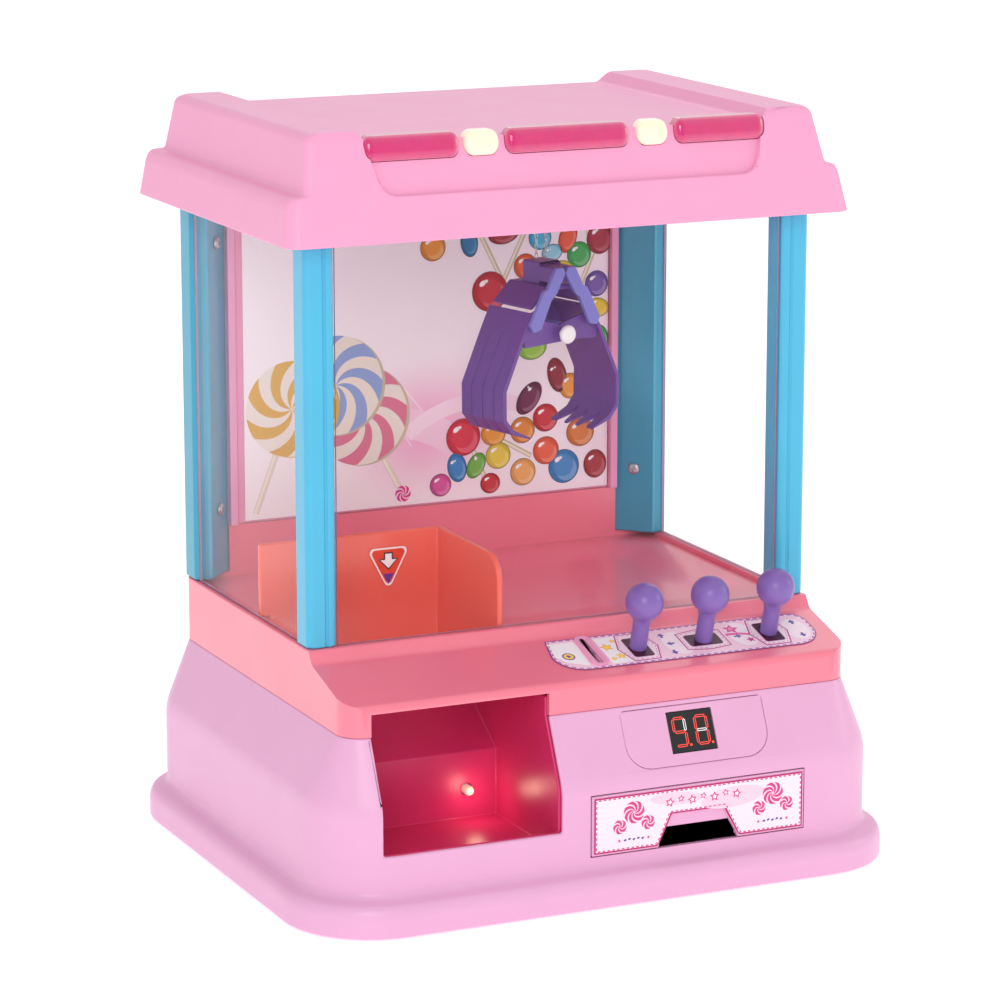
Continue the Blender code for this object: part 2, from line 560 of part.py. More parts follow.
def make_gantry():
    home = (CLAW_X, CLAW_Y, 325.0)
    front, back = CLAW_Y - 16.0, CLAW_Y + 16.0
    bridge = box("gantry_bridge", (-118, front, 321.7), (118, back, 328.0), "grey_plastic", origin=home)
    cut(bridge, box("cut_bridge", (-106, front + 5, 310), (106, back - 5, 340)))
    left, right = CLAW_X - 17, CLAW_X + 17
    trolley = box("trolley", (left, front + 1, 328.3), (right, back - 1, 331.0), "white", origin=home)
    add(trolley, box("trolley_keel", (CLAW_X - 8, front + 6, 319), (CLAW_X + 8, back - 6, 329)))
    drum_y, drum_z = CLAW_Y + CHAIN_R + GAP + DRUM_R, 343.0
    for side, x in (("left", CLAW_X - 14.5), ("right", CLAW_X + 11.5)):
        add(trolley, box(f"cheek_{side}", (x, drum_y - 5, 330), (x + 3, drum_y + 5, 350)))
    cut(trolley, box("cut_chain_way", (CLAW_X - 5, CLAW_Y - 3, 300), (CLAW_X + 5, CLAW_Y + 3, 340)))
    through = [(1.6, -30), (1.6, 30)]
    cut(trolley, turned("cut_drum_bore", through, (CLAW_X, drum_y, drum_z), axis="X", segments=12))
    drum = [(1.5, -16), (1.5, -11), (7.2, -10.9), (7.2, -9.6), (DRUM_R, -9.5),
            (DRUM_R, 9.5), (7.2, 9.6), (7.2, 10.9), (1.5, 11), (1.5, 16)]
    spot = (CLAW_X, drum_y, drum_z)
    turned("winch_drum", drum, spot, "white", axis="X", origin=spot, segments=18)
    motor = [(5.0, -11), (6.0, -10), (6.0, 10), (5.0, 11)]
    turned("hoist_motor", motor, (CLAW_X, front + 7.5, 337.6), "steel", axis="X")
    for side, x in (("left", CLAW_X - 2.6), ("right", CLAW_X + 2.6)):
        turned(f"chain_{side}", [(CHAIN_R, 282.4), (CHAIN_R, drum_z)], (x, CLAW_Y, 0), "steel", segments=8)


# ---- claw, drawn in its own frame: u across the jaws, w along the pin, z up ----

def make_claw():
    frame = bpy.data.objects.new("claw_frame", None)
    bpy.context.scene.collection.objects.link(frame)
    frame.location = (CLAW_X * MM, CLAW_Y * MM, 0)
    frame.rotation_euler = (0, 0, CLAW_YAW)
    make_head(frame)
    make_hub(frame)
    for name, sign, arm in (("scoop_left", -1, 14.7), ("scoop_right", 1, 12.6)):
        make_scoop(name, sign, arm, frame)
    for name, sign in (("link_left", -1), ("link_right", 1)):
        make_link(name, sign, frame)


def make_head(frame):
    right_half = [(17.4, 260.3), (19, 261.6), (8.5, 271.2)]
    hood = [(7.4, 268.6)] + right_half + [(-u, z) for u, z in right_half[::-1]] + [(-7.4, 268.6)]
    head = prism("claw_head", hood, -14.5, 14.5, "Y", "violet", origin=(0, 0, 282), parent=frame)
    add(head, box("head_block", (-6.5, -6.5, 265), (6.5, 6.5, 282), parent=frame))
    add(head, box("link_lug", (-6.4, -16.6, 272.4), (6.4, -5.5, 280.5), parent=frame))
    cut(head, turned("cut_stem_bore", [(3.2, 250), (3.2, 279)], (0, 0, 0), parent=frame))


def make_hub(frame):
    """Hub with a stem that slides in the head, and the pin that both jaws turn on."""
    centre = (0, 0, PIN_Z)
    hub = box("claw_hub", (-5, -12.3, 243), (5, 12.3, 252), "light_violet", origin=centre, parent=frame)
    add(hub, turned("hub_stem", [(2.7, 250), (2.7, 269.5)], (0, 0, 0), parent=frame))
    cut(hub, turned("cut_hub_bore", [(1.8, -30), (1.8, 30)], centre, axis="Y", segments=12, parent=frame))
    pin = [(1.5, 18.5), (1.5, -19.6), (4.6, -19.7), (4.6, -21.6), (3.6, -22.4)]
    turned("claw_pin", pin, (0, 0, PIN_Z), "white", axis="Y", segments=14, origin=(0, 0, PIN_Z), parent=frame)


def make_scoop(name, sign, arm, frame):
    """One jaw: a bent plate with pointed fingers and two arms that reach back to the pin."""
    outer = [(19.3, 259.6), (24.6, 249.1), (37.0, 222.5), (36.8, 207.2), (31.5, 200.6), (19.5, 196.8)]
    inner = [(20.0, 197.9), (30.4, 202.8), (34.6, 208.2), (34.8, 222.1), (22.8, 248.3), (17.6, 258.6)]
    plate = [(sign * u, z) for u, z in outer + inner]
    scoop = prism(name, plate, -SCOOP_HALF, SCOOP_HALF, "Y", "violet", origin=(0, 0, PIN_Z), parent=frame)
    reach = [(0.0, PIN_Z - 4.0), (23.5, 242.5), (24.0, 247.8), (19.5, 257.0), (0.0, PIN_Z + 4.0),
             (-3.2, PIN_Z + 2), (-3.2, PIN_Z - 2)]
    shape = [(sign * u, z) for u, z in reach]
    for end, low in (("front", -arm - 1.8), ("back", arm)):
        add(scoop, prism(f"{name}_arm_{end}", shape, low, low + 1.8, "Y", parent=frame))
    through = [(1.75, -30), (1.75, 30)]
    cut(scoop, turned(f"cut_{name}_bore", through, (0, 0, PIN_Z), axis="Y", segments=12, parent=frame))
    for index, w in enumerate((-8.5, 0.0, 8.5)):
        gap = [(sign * 17.0, w - 3.4), (sign * 31.0, w - 0.6), (sign * 31.0, w + 0.6), (sign * 17.0, w + 3.4)]
        cut(scoop, prism(f"cut_{name}_finger_{index}", gap, 190, 204.0, "Z", parent=frame))


def make_link(name, sign, frame):
    """Cranked link from the head's lug down to the jaw's shoulder, in front of the jaws."""
    outline = [(2.0, 279.5), (5.4, 279.5), (10.5, 270.0), (13.0, 269.0), (21.0, 254.0), (19.5, 251.2),
               (16.0, 252.0), (9.5, 266.0), (7.2, 267.4), (1.2, 277.5)]
    top = (sign * 3.7, -18.0, 277.0)
    shape = [(sign * u, z) for u, z in outline]
    prism(name, shape, -19.2, -16.9, "Y", "light_violet", origin=top, parent=frame)


def main():
    clear_scene()
    make_base()
    make_deck()
    make_cage()
    make_roof()
    make_gantry()
    make_claw()


main()
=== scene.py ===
import json
import math

import bmesh
import bpy
import numpy as np
from mathutils import Matrix, Vector


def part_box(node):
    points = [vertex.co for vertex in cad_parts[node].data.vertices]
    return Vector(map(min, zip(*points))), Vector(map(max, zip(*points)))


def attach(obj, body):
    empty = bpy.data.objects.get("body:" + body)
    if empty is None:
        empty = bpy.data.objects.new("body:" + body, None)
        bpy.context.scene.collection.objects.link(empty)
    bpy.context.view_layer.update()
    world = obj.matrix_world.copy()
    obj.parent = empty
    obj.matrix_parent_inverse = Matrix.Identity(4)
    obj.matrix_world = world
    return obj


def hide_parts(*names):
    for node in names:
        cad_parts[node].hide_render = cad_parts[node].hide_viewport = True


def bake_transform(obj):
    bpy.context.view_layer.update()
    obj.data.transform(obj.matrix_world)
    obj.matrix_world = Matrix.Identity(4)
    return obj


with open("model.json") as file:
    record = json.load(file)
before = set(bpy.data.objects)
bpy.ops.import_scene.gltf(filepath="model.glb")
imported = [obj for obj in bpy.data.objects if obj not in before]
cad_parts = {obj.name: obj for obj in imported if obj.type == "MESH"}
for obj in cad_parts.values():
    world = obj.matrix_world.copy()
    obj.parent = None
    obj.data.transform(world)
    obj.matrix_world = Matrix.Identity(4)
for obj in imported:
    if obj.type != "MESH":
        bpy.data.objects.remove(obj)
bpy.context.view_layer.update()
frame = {"nodes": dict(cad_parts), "record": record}

bl_info = {
    "name": "Table-top claw crane",
    "version": (1, 0, 0),
    "blender": (4, 5, 0),
    "location": "3D View > Sidebar > Claw crane",
    "description": "Finished pieces and materials for a table-top claw crane machine",
    "category": "Object",
}

MM = 0.001
BODY_OF = {node: body for body, nodes in frame["record"]["behaviour"]["bodies"].items() for node in nodes}


def span(node):
    """Lowest and highest corner of a CAD node in millimetres, as two arrays."""
    low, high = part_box(node)
    return np.array(low) / MM, np.array(high) / MM


def linear(code):
    """sRGB hex to linear: below 0.04045 a straight line, above it a power of 2.4."""
    value = np.array([int(code[i:i + 2], 16) for i in (1, 3, 5)]) / 255.0
    value = np.where(value <= 0.04045, value / 12.92, ((value + 0.055) / 1.055) ** 2.4)
    return tuple(float(v) for v in value) + (1.0,)


# ---- driving dimensions, millimetres; the rest comes from the frame ----
# _X is a half width, _Y a half depth and _R a corner radius in plan.
WALL, GAP = 2.5, 0.3
PLINTH_X, PLINTH_Y = span("base_shell")[1][:2]
PLINTH_R, PLINTH_TOP = 44.0, 12.0
BODY_X, BODY_Y, BODY_R = 146.0, 122.0, 35.0
BODY_FOOT, BEND_Z = 18.0, 58.0
BASE_TOP = span("base_shell")[1][2]
DECK_X, DECK_Y = span("deck_frame")[1][:2]
DECK_R = 12.0
PANEL_FRONT, PANEL_BACK = (-104.5, 105.2), (-66.0, 116.0)     # y and z of the sloping panel's ends
RIM_Z = 122.0
WELL_X, WELL_FRONT, WELL_BACK = 126.5, -57.5, 100.0
MOUTH = (-119.0, -29.0, 37.0, 101.0)     # prize opening: left, right, sill, top
BEZEL = (7.0, 82.0)                      # left and right end
ROOF_LOW, ROOF_HIGH = span("roof_shell")[0][2], span("roof_shell")[1][2]
ROOF_X, ROOF_FRONT, ROOF_BACK = 145.3, -78.0, 126.0
ROOF_LEAN = 14.0 / 49.0
CHANNEL_Z, RECESS_Z, RECESS_DEEP = 357.0, 333.0, 3.0
CLAW_X, CLAW_Y, CLAW_YAW = 29.0, 25.5, math.radians(14.0)
PIN_Z = 247.5
STICK_X, STICK_Y = (28.5, 63.5, 99.0), -84.0
STICK_PIVOT_DEEP, BALL_HIGH, BALL_R = 10.0, 25.0, 9.25


# ---- settings a user would change ----

def colour_setting(name, description, code):
    """A colour property that starts at an sRGB hex code."""
    return bpy.props.FloatVectorProperty(name=name, description=description, subtype="COLOR", size=4,
                                         min=0.0, max=1.0, default=linear(code))


class CraneColours(bpy.types.PropertyGroup):
    """Colours of the moulded pieces and lamps."""
    body: colour_setting("Base", "Orchid pink of the base, bezel and drawer", "#E6ABD0")
    roof: colour_setting("Roof", "Candy pink of the roof and back frame", "#F2A4C9")
    deck: colour_setting("Deck", "Coral of the deck and play tray", "#F57B91")
    chute: colour_setting("Chute", "Orange coral of the prize chute", "#FF6B59")
    prize_bin: colour_setting("Prize bin", "Crimson pink of the prize bin", "#D4326E")
    post: colour_setting("Front posts", "Sky blue of the front posts", "#47B5DA")
    wing: colour_setting("Rear posts", "Teal of the rear posts and their wings", "#35A0BE")
    stick: colour_setting("Joysticks", "Lilac of the joysticks", "#8061AE")
    claw: colour_setting("Claw", "Violet of the claw head and jaws", "#6A3D92")
    link: colour_setting("Links", "Lighter violet of the links and hub", "#7C78C6")
    lens: colour_setting("Light bars", "Magenta of the light bars", "#C90062")
    lamp: colour_setting("Lamps", "Warm white of the lamps", "#FFE0BE")


class CraneShape(bpy.types.PropertyGroup):
    """How finely the pieces are cut, and how round their edges are."""
    corner_steps: bpy.props.IntProperty(name="Corner steps", description="Spans in each plan corner",
                                        default=14, min=4, max=32)
    edge: bpy.props.FloatProperty(name="Edge radius", description="Radius of the moulded edges, in metres",
                                  default=1.4 * MM, min=0.2 * MM, max=3 * MM, subtype="DISTANCE",
                                  unit="LENGTH")
    chain_pitch: bpy.props.FloatProperty(name="Chain pitch", default=2.5 * MM, min=1 * MM, max=6 * MM,
                                         description="Height of one chain link, in metres",
                                         subtype="DISTANCE", unit="LENGTH")


class CraneStage(bpy.types.PropertyGroup):
    """Floor, lights and camera."""
    floor: colour_setting("Floor", "Pale studio floor", "#F6F5F6")
    sky: bpy.props.FloatProperty(name="Surround", description="Strength of the even white surround",
                                 default=0.72, min=0.0, max=4.0)
    key_power: bpy.props.FloatProperty(name="Key light", description="Power of the front softbox, in watts",
                                       default=14.0, min=0.0, max=200.0, unit="POWER")
    top_power: bpy.props.FloatProperty(name="Top light", default=4.0, min=0.0, max=200.0, unit="POWER",
                                       description="Power of the overhead softbox, in watts")
    lens_length: bpy.props.FloatProperty(name="Lens", description="Camera lens, in millimetres",
                                         default=143.4, min=20.0, max=400.0, unit="CAMERA")


# ---- materials ----

def add_node(tree, kind, inputs=None, **settings):
    """Adds one node: settings are its attributes, inputs are socket values or the sockets to link from."""
    node = tree.nodes.new(kind)
    for name, value in settings.items():
        setattr(node, name, value)
    for name, value in (inputs or {}).items():
        if isinstance(value, bpy.types.NodeSocket):
            tree.links.new(value, node.inputs[name])
        else:
            node.inputs[name].default_value = value
    return node


def new_material(name):
    """An empty material and its node tree."""
    material = bpy.data.materials.new(name)
    material.use_nodes = True
    material.node_tree.nodes.clear()
    return material, material.node_tree


def shade(colour, factor):
    """A linear colour made darker or lighter."""
    return tuple(min(1.0, c * factor) for c in colour[:3]) + (1.0,)


def moulded_abs(name, colour, roughness, mottle=0.03, **sockets):
    """Injection-moulded ABS. Cloudy 25 mm patches of barely lighter pigment, and a polish that wanders with
    the flow of the melt, so that the highlights are never quite even."""
    material, tree = new_material(name)
    where = add_node(tree, "ShaderNodeTexCoord").outputs["Object"]
    cloud = add_node(tree, "ShaderNodeTexNoise", {"Vector": where, "Scale": 1 / 0.025, "Detail": 2.0})
    tint = add_node(tree, "ShaderNodeMix", {0: cloud.outputs["Fac"], 6: shade(colour, 1 - mottle),
                                            7: shade(colour, 1 + mottle)}, data_type="RGBA")
    flow = add_node(tree, "ShaderNodeTexNoise", {"Vector": where, "Scale": 1 / 0.03, "Detail": 1.0})
    gloss = add_node(tree, "ShaderNodeMapRange", {"Value": flow.outputs["Fac"], "From Min": 0.3,
                                                  "From Max": 0.7, "To Min": roughness - 0.03,
                                                  "To Max": roughness + 0.04})
    shader = add_node(tree, "ShaderNodeBsdfPrincipled",
                      {"Base Color": tint.outputs[2], "Roughness": gloss.outputs["Result"], "IOR": 1.53,
                       **sockets})
    add_node(tree, "ShaderNodeOutputMaterial", {"Surface": shader.outputs["BSDF"]})
    return material


def turned_metal(name, code, roughness):
    """Zinc-plated steel: a bright grey metal with fine drawn lines along z and a wandering polish."""
    grain = 0.0006
    material, tree = new_material(name)
    where = add_node(tree, "ShaderNodeTexCoord").outputs["Object"]
    drawn = add_node(tree, "ShaderNodeMapping", {"Vector": where, "Scale": (1.0, 1.0, 0.15)})
    lines = add_node(tree, "ShaderNodeTexNoise", {"Vector": drawn.outputs["Vector"], "Scale": 1 / grain,
                                                  "Detail": 3.0})
    tint = add_node(tree, "ShaderNodeMix", {0: lines.outputs["Fac"], 6: shade(linear(code), 0.8),
                                            7: linear(code)}, data_type="RGBA")
    gloss = add_node(tree, "ShaderNodeMapRange", {"Value": lines.outputs["Fac"],
                                                  "To Min": roughness - 0.06, "To Max": roughness + 0.1})
    bump = add_node(tree, "ShaderNodeBump", {"Height": lines.outputs["Fac"], "Strength": 0.1,
                                             "Distance": 0.0001})
    shader = add_node(tree, "ShaderNodeBsdfPrincipled",
                      {"Base Color": tint.outputs[2], "Metallic": 1.0, "Roughness": gloss.outputs["Result"],
                       "Normal": bump.outputs["Normal"]})
    add_node(tree, "ShaderNodeOutputMaterial", {"Surface": shader.outputs["BSDF"]})
    return material


def dyed_acrylic(name, colour, glow, strength, roughness=0.12):
    """Moulded acrylic light cover: its base colour is painted paler where the surface is seen at a slant, a
    painted sheen, and the lamp behind makes the whole bar glow a little."""
    material, tree = new_material(name)
    where = add_node(tree, "ShaderNodeTexCoord").outputs["Object"]
    painted_sheen_mask = add_node(tree, "ShaderNodeLayerWeight", {"Blend": 0.35})
    ribs = add_node(tree, "ShaderNodeTexNoise", {"Vector": where, "Scale": 1 / 0.006, "Detail": 2.0})
    # Painted sheen: the colour turns paler towards the edges seen at a slant.
    pale = tuple(0.55 * c + 0.45 for c in colour[:3]) + (1.0,)
    edge = add_node(tree, "ShaderNodeMix", {0: painted_sheen_mask.outputs["Facing"], 6: colour, 7: pale},
                    data_type="RGBA")
    body = add_node(tree, "ShaderNodeMix", {0: 0.25, 6: edge.outputs[2], 7: ribs.outputs["Color"]},
                    data_type="RGBA", blend_type="SOFT_LIGHT")
    bump = add_node(tree, "ShaderNodeBump", {"Height": ribs.outputs["Fac"], "Strength": 0.06,
                                             "Distance": 0.0005})
    shader = add_node(tree, "ShaderNodeBsdfPrincipled",
                      {"Base Color": body.outputs[2], "Roughness": roughness, "IOR": 1.49,
                       "Normal": bump.outputs["Normal"], "Coat Weight": 0.6, "Coat Roughness": 0.05,
                       "Emission Color": glow, "Emission Strength": strength})
    add_node(tree, "ShaderNodeOutputMaterial", {"Surface": shader.outputs["BSDF"]})
    return material


def clear_styrene(name):
    """Clear polystyrene sheet: nearly all light passes, and the polished faces mirror at a slant."""
    material, tree = new_material(name)
    where = add_node(tree, "ShaderNodeTexCoord").outputs["Object"]
    haze = add_node(tree, "ShaderNodeTexNoise", {"Vector": where, "Scale": 1 / 0.03, "Detail": 2.0})
    gloss = add_node(tree, "ShaderNodeMapRange", {"Value": haze.outputs["Fac"], "To Min": 0.02,
                                                  "To Max": 0.06})
    slant = add_node(tree, "ShaderNodeLayerWeight", {"Blend": 0.5})
    steep = add_node(tree, "ShaderNodeMath", {0: slant.outputs["Facing"], 1: 5.0}, operation="POWER")
    mirror = add_node(tree, "ShaderNodeMapRange", {"Value": steep.outputs["Value"], "To Min": 0.008,
                                                   "To Max": 0.4})
    film = add_node(tree, "ShaderNodeBsdfPrincipled", {"Base Color": (1.0, 0.99, 1.0, 1.0), "Metallic": 1.0,
                                                       "Roughness": gloss.outputs["Result"]})
    through = add_node(tree, "ShaderNodeBsdfTransparent", {"Color": (0.99, 0.985, 0.99, 1.0)})
    both = add_node(tree, "ShaderNodeMixShader", {0: mirror.outputs["Result"], 1: through.outputs["BSDF"],
                                                  2: film.outputs["BSDF"]})
    add_node(tree, "ShaderNodeOutputMaterial", {"Surface": both.outputs["Shader"]})
    return material


def printed_vinyl(name):
    """Printed vinyl film: each ink's colour is in the mesh's own ink attribute, broken up by a faint
    printing screen, and the film's low sheen keeps the inks deep."""
    material, tree = new_material(name)
    ink = add_node(tree, "ShaderNodeAttribute", attribute_name="ink")
    where = add_node(tree, "ShaderNodeTexCoord").outputs["Object"]
    # A real screen is about 0.4 mm; it is drawn at 0.9 mm so that it shows at all.
    screen = add_node(tree, "ShaderNodeTexNoise", {"Vector": where, "Scale": 1 / 0.0009, "Detail": 1.0})
    colour = add_node(tree, "ShaderNodeMix", {0: 0.1, 6: ink.outputs["Color"], 7: screen.outputs["Color"]},
                      data_type="RGBA", blend_type="SOFT_LIGHT")
    bump = add_node(tree, "ShaderNodeBump", {"Height": screen.outputs["Fac"], "Strength": 0.03,
                                             "Distance": 0.0002})
    shader = add_node(tree, "ShaderNodeBsdfPrincipled",
                      {"Base Color": colour.outputs[2], "Specular IOR Level": 0.2, "Roughness": 0.28,
                       "IOR": 1.5, "Normal": bump.outputs["Normal"]})
    add_node(tree, "ShaderNodeOutputMaterial", {"Surface": shader.outputs["BSDF"]})
    return material


def washed_print(name, pale, deep, heart):
    """Printed card with a soft wash: pale at the top left, deeper to the right, and a warm pink cloud
    low in the middle."""
    material, tree = new_material(name)
    where = add_node(tree, "ShaderNodeTexCoord").outputs["Object"]
    axes = add_node(tree, "ShaderNodeSeparateXYZ", {"Vector": where})
    low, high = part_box("rear_print")
    across = add_node(tree, "ShaderNodeMapRange", {"Value": axes.outputs["X"], "From Min": low.x,
                                                   "From Max": high.x, "To Min": 0.1, "To Max": 0.8})
    cloud = add_node(tree, "ShaderNodeTexNoise", {"Vector": where, "Scale": 1 / 0.05, "Detail": 5.0})
    uneven = add_node(tree, "ShaderNodeMath", {0: across.outputs["Result"], 1: cloud.outputs["Fac"]},
                      operation="MULTIPLY")
    wash = add_node(tree, "ShaderNodeMix", {0: uneven.outputs["Value"], 6: pale, 7: deep},
                    data_type="RGBA")
    middle = add_node(tree, "ShaderNodeMapping", {"Vector": where, "Location": (0.0, 0.0, -0.185)})
    away = add_node(tree, "ShaderNodeVectorMath", {0: middle.outputs["Vector"], 1: (1.1, 0.0, 1.5)},
                    operation="MULTIPLY")
    far = add_node(tree, "ShaderNodeVectorMath", {0: away.outputs["Vector"]}, operation="LENGTH")
    glow = add_node(tree, "ShaderNodeMapRange", {"Value": far.outputs["Value"], "From Min": 0.0,
                                                 "From Max": 0.065, "To Min": 0.75, "To Max": 0.0},
                    interpolation_type="SMOOTHSTEP")
    colour = add_node(tree, "ShaderNodeMix", {0: glow.outputs["Result"], 6: wash.outputs[2], 7: heart},
                      data_type="RGBA")
    shader = add_node(tree, "ShaderNodeBsdfPrincipled",
                      {"Base Color": colour.outputs[2], "Specular IOR Level": 0.2, "Roughness": 0.35,
                       "IOR": 1.5})
    add_node(tree, "ShaderNodeOutputMaterial", {"Surface": shader.outputs["BSDF"]})
    return material


def matt_floor(name, colour):
    """Matt white laminate sweep: faint 25 mm patches keep it from looking drawn, and a little light of its
    own keeps it white where the lamps do not reach."""
    return moulded_abs(name, colour, roughness=0.75, mottle=0.01,
                       **{"Emission Color": (1.0, 1.0, 1.0, 1.0), "Emission Strength": 0.44})


def make_materials():
    """One material for each finish; most names are the record's material slots."""
    pick = bpy.context.scene.crane_colours
    return {
        # Large pastel mouldings: satin, with soft broad highlights and no mirror at a slant.
        "pink_body": moulded_abs("moulded_abs_orchid", tuple(pick.body), 0.34,
                                 **{"Specular IOR Level": 0.4}),
        "pink_roof": moulded_abs("moulded_abs_candy", tuple(pick.roof), 0.34,
                                 **{"Specular IOR Level": 0.28}),
        # The deck is polished: a clear sheen lies over the satin.
        "coral": moulded_abs("moulded_abs_coral", tuple(pick.deck), 0.33,
                             **{"Coat Weight": 0.5, "Coat Roughness": 0.16, "Coat IOR": 1.6}),
        # Styrene pieces are glossier than the ABS ones, with sharper highlights.
        "chute": moulded_abs("moulded_styrene_orange_coral", tuple(pick.chute), 0.18, mottle=0.08),
        "crimson": moulded_abs("moulded_abs_crimson", tuple(pick.prize_bin), 0.34, mottle=0.08),
        "cyan": moulded_abs("moulded_styrene_sky", tuple(pick.post), 0.2, mottle=0.05),
        "teal": moulded_abs("moulded_styrene_teal", tuple(pick.wing), 0.22, mottle=0.05),
        # Small handled pieces: ABS knobs, and nylon claw parts with a duller, cloudier face.
        "lilac": moulded_abs("moulded_abs_lilac", tuple(pick.stick), 0.33),
        "violet": moulded_abs("moulded_nylon_violet", tuple(pick.claw), 0.36, mottle=0.06),
        "light_violet": moulded_abs("moulded_nylon_pale_violet", tuple(pick.link), 0.36, mottle=0.06),
        # Lamp covers and windows: light comes from inside them or through them.
        "magenta_lens": dyed_acrylic("dyed_acrylic_magenta", tuple(pick.lens), linear("#FF1E96"), 0.06),
        "amber_lens": dyed_acrylic("frosted_acrylic_warm", tuple(pick.lamp), linear("#FFEBDA"), 0.22,
                                   0.35),
        "clear": clear_styrene("clear_styrene_sheet"),
        # Painted shade: the clear windows' edges are coloured an opaque darker mauve.
        "pane_edge_painted_shade": moulded_abs("styrene_edge_painted_shade", linear("#A98BA6"), 0.22),
        # Printed films, and the plain small parts: they only have to read as white, black, grey or metal.
        "label": printed_vinyl("printed_vinyl"),
        "white": moulded_abs("moulded_acetal_white", linear("#F2F1EE"), 0.34),
        "black": moulded_abs("moulded_abs_black", linear("#1B1B1E"), 0.22, mottle=0.15),
        "green_board": moulded_abs("lacquered_glass_fibre_board", linear("#1F6B3C"), 0.35, mottle=0.2),
        "grey_plastic": moulded_abs("moulded_abs_grey", linear("#8D8F94"), 0.4, mottle=0.06),
        "rubber": moulded_abs("moulded_rubber_black", linear("#2A2A2C"), 0.75, mottle=0.15),
        "steel": turned_metal("zinc_plated_steel", "#C9CCD0", 0.36),
        "wash": washed_print("printed_card_wash", linear("#FFFFFF"), linear("#F8DDE9"),
                             linear("#F08FC2")),
        # Display segments: saturated faces that barely glow. The white ones are the unlit segments, and
        # their glow is painted light.
        "lit_red": dyed_acrylic("lit_segment_red", linear("#FF3B22"), linear("#FF2A14"), 0.35),
        "unlit_white_painted_glow": dyed_acrylic("unlit_segment_white_painted_glow", linear("#E9E9E4"), linear("#FFFFFF"), 0.25),
    }


FINISH = {}


# ---- shapes, millimetres; each gives whole arrays ----

def arc(cx, cy, radius, start, end, steps=8):
    """Points on a circle round (cx, cy) from one angle to another, in degrees."""
    turn = np.radians(np.linspace(start, end, steps + 1))
    return np.column_stack([cx + radius * np.cos(turn), cy + radius * np.sin(turn)])


def rounded(left, right, low, high, radius, steps=6):
    """Rectangle whose four corners are quarter circles, counter-clockwise from the lower left."""
    corners = ((left + radius, low + radius, 180), (right - radius, low + radius, 270),
               (right - radius, high - radius, 0), (left + radius, high - radius, 90))
    return np.concatenate([arc(cx, cy, radius, a, a + 90, steps) for cx, cy, a in corners])


def rounded_plans(levels, steps):
    """Rounded rectangles stacked in z. Each row of levels is z, half width, front, back, radius, and each
    corner is the same quarter circle about its own centre."""
    z, x, front, back, radius = (np.asarray(levels, float)[:, i:i + 1] for i in range(5))
    corner = np.repeat(np.arange(4), steps + 1)
    turn = np.radians(-90 + 90 * (corner + np.tile(np.linspace(0, 1, steps + 1), 4)))
    side = np.array([1, 1, -1, -1])[corner]
    middle_x = side * (x - radius)
    middle_y = np.where(np.array([-1, 1, 1, -1])[corner] > 0, back - radius, front + radius)
    return np.stack([middle_x + radius * np.cos(turn), middle_y + radius * np.sin(turn),
                     z + 0 * turn], axis=-1)


def eased(stations, reaches, steps=6):
    """Rounds the corners of a row of stations. Each inner one becomes a quadratic Bezier curve that leaves
    the straight `reach` before it and joins the next the same distance after it."""
    stations = np.asarray(stations, float)
    along = np.linspace(0, 1, steps + 1)[:, None]
    rows = [stations[:1]]
    for before, corner, after, reach in zip(stations, stations[1:], stations[2:], reaches):
        into = corner + (before - corner) * min(reach / np.linalg.norm((before - corner)[:2]), 0.5)
        out = corner + (after - corner) * min(reach / np.linalg.norm((after - corner)[:2]), 0.5)
        rows.append((1 - along) ** 2 * into + 2 * along * (1 - along) * corner + along ** 2 * out)
    rows.append(stations[-1:])
    return np.concatenate(rows)


def slope_frame(low, high):
    """Matrix of a plane that leans in y and z: x stays, the second axis runs up the slope, in mm."""
    dy, dz = high[0] - low[0], high[1] - low[1]
    long = math.hypot(dy, dz)
    return Matrix(((1, 0, 0, 0), (0, dy / long, -dz / long, low[0]), (0, dz / long, dy / long, low[1]),
                   (0, 0, 0, 1)))


def front_frame(y):
    """Matrix of an upright plane that faces the front at y: x stays and the second axis runs up z."""
    return Matrix(((1, 0, 0, 0), (0, 0, -1, y), (0, 1, 0, 0), (0, 0, 0, 1)))


def claw_frame():
    """Matrix of the claw's own axes: u across the jaws, w along their pin, z up."""
    return Matrix.Translation((CLAW_X, CLAW_Y, 0)) @ Matrix.Rotation(CLAW_YAW, 4, "Z")


def moved(points, place):
    """Points carried by a matrix, as one array product."""
    points = np.asarray(points, float)
    if place is None:
        return points
    matrix = np.array(place)
    return points @ matrix[:3, :3].T + matrix[:3, 3]


def face_front(z):
    """Y of the roof's leaning front at height z."""
    return ROOF_FRONT + (np.asarray(z, float) - ROOF_LOW) * ROOF_LEAN


# ---- meshes ----

def new_piece(name, points, faces):
    """An object at the origin from points in millimetres, smooth shaded."""
    mesh = bpy.data.meshes.new(name)
    mesh.from_pydata((np.asarray(points, float).reshape(-1, 3) * MM).tolist(), [], faces)
    mesh.shade_smooth()
    piece = bpy.data.objects.new(name, mesh)
    bpy.context.scene.collection.objects.link(piece)
    return piece


def tidy_mesh(piece, distance=0.002, recalculate=True):
    """Merges points that lie within distance, in mm, and turns every face of a closed surface outwards."""
    work = bmesh.new()
    work.from_mesh(piece.data)
    bmesh.ops.remove_doubles(work, verts=work.verts, dist=distance * MM)
    bmesh.ops.dissolve_degenerate(work, edges=work.edges, dist=distance * MM * 0.5)
    if recalculate:
        bmesh.ops.recalc_face_normals(work, faces=work.faces)
    work.to_mesh(piece.data)
    work.free()
    piece.data.shade_smooth()
    return piece


def merge_flat(piece):
    """Joins neighbouring faces that lie in one plane, so that a bevel meets no edge beside it."""
    work = bmesh.new()
    work.from_mesh(piece.data)
    bmesh.ops.dissolve_limit(work, angle_limit=math.radians(0.3), verts=work.verts, edges=work.edges)
    work.to_mesh(piece.data)
    work.free()


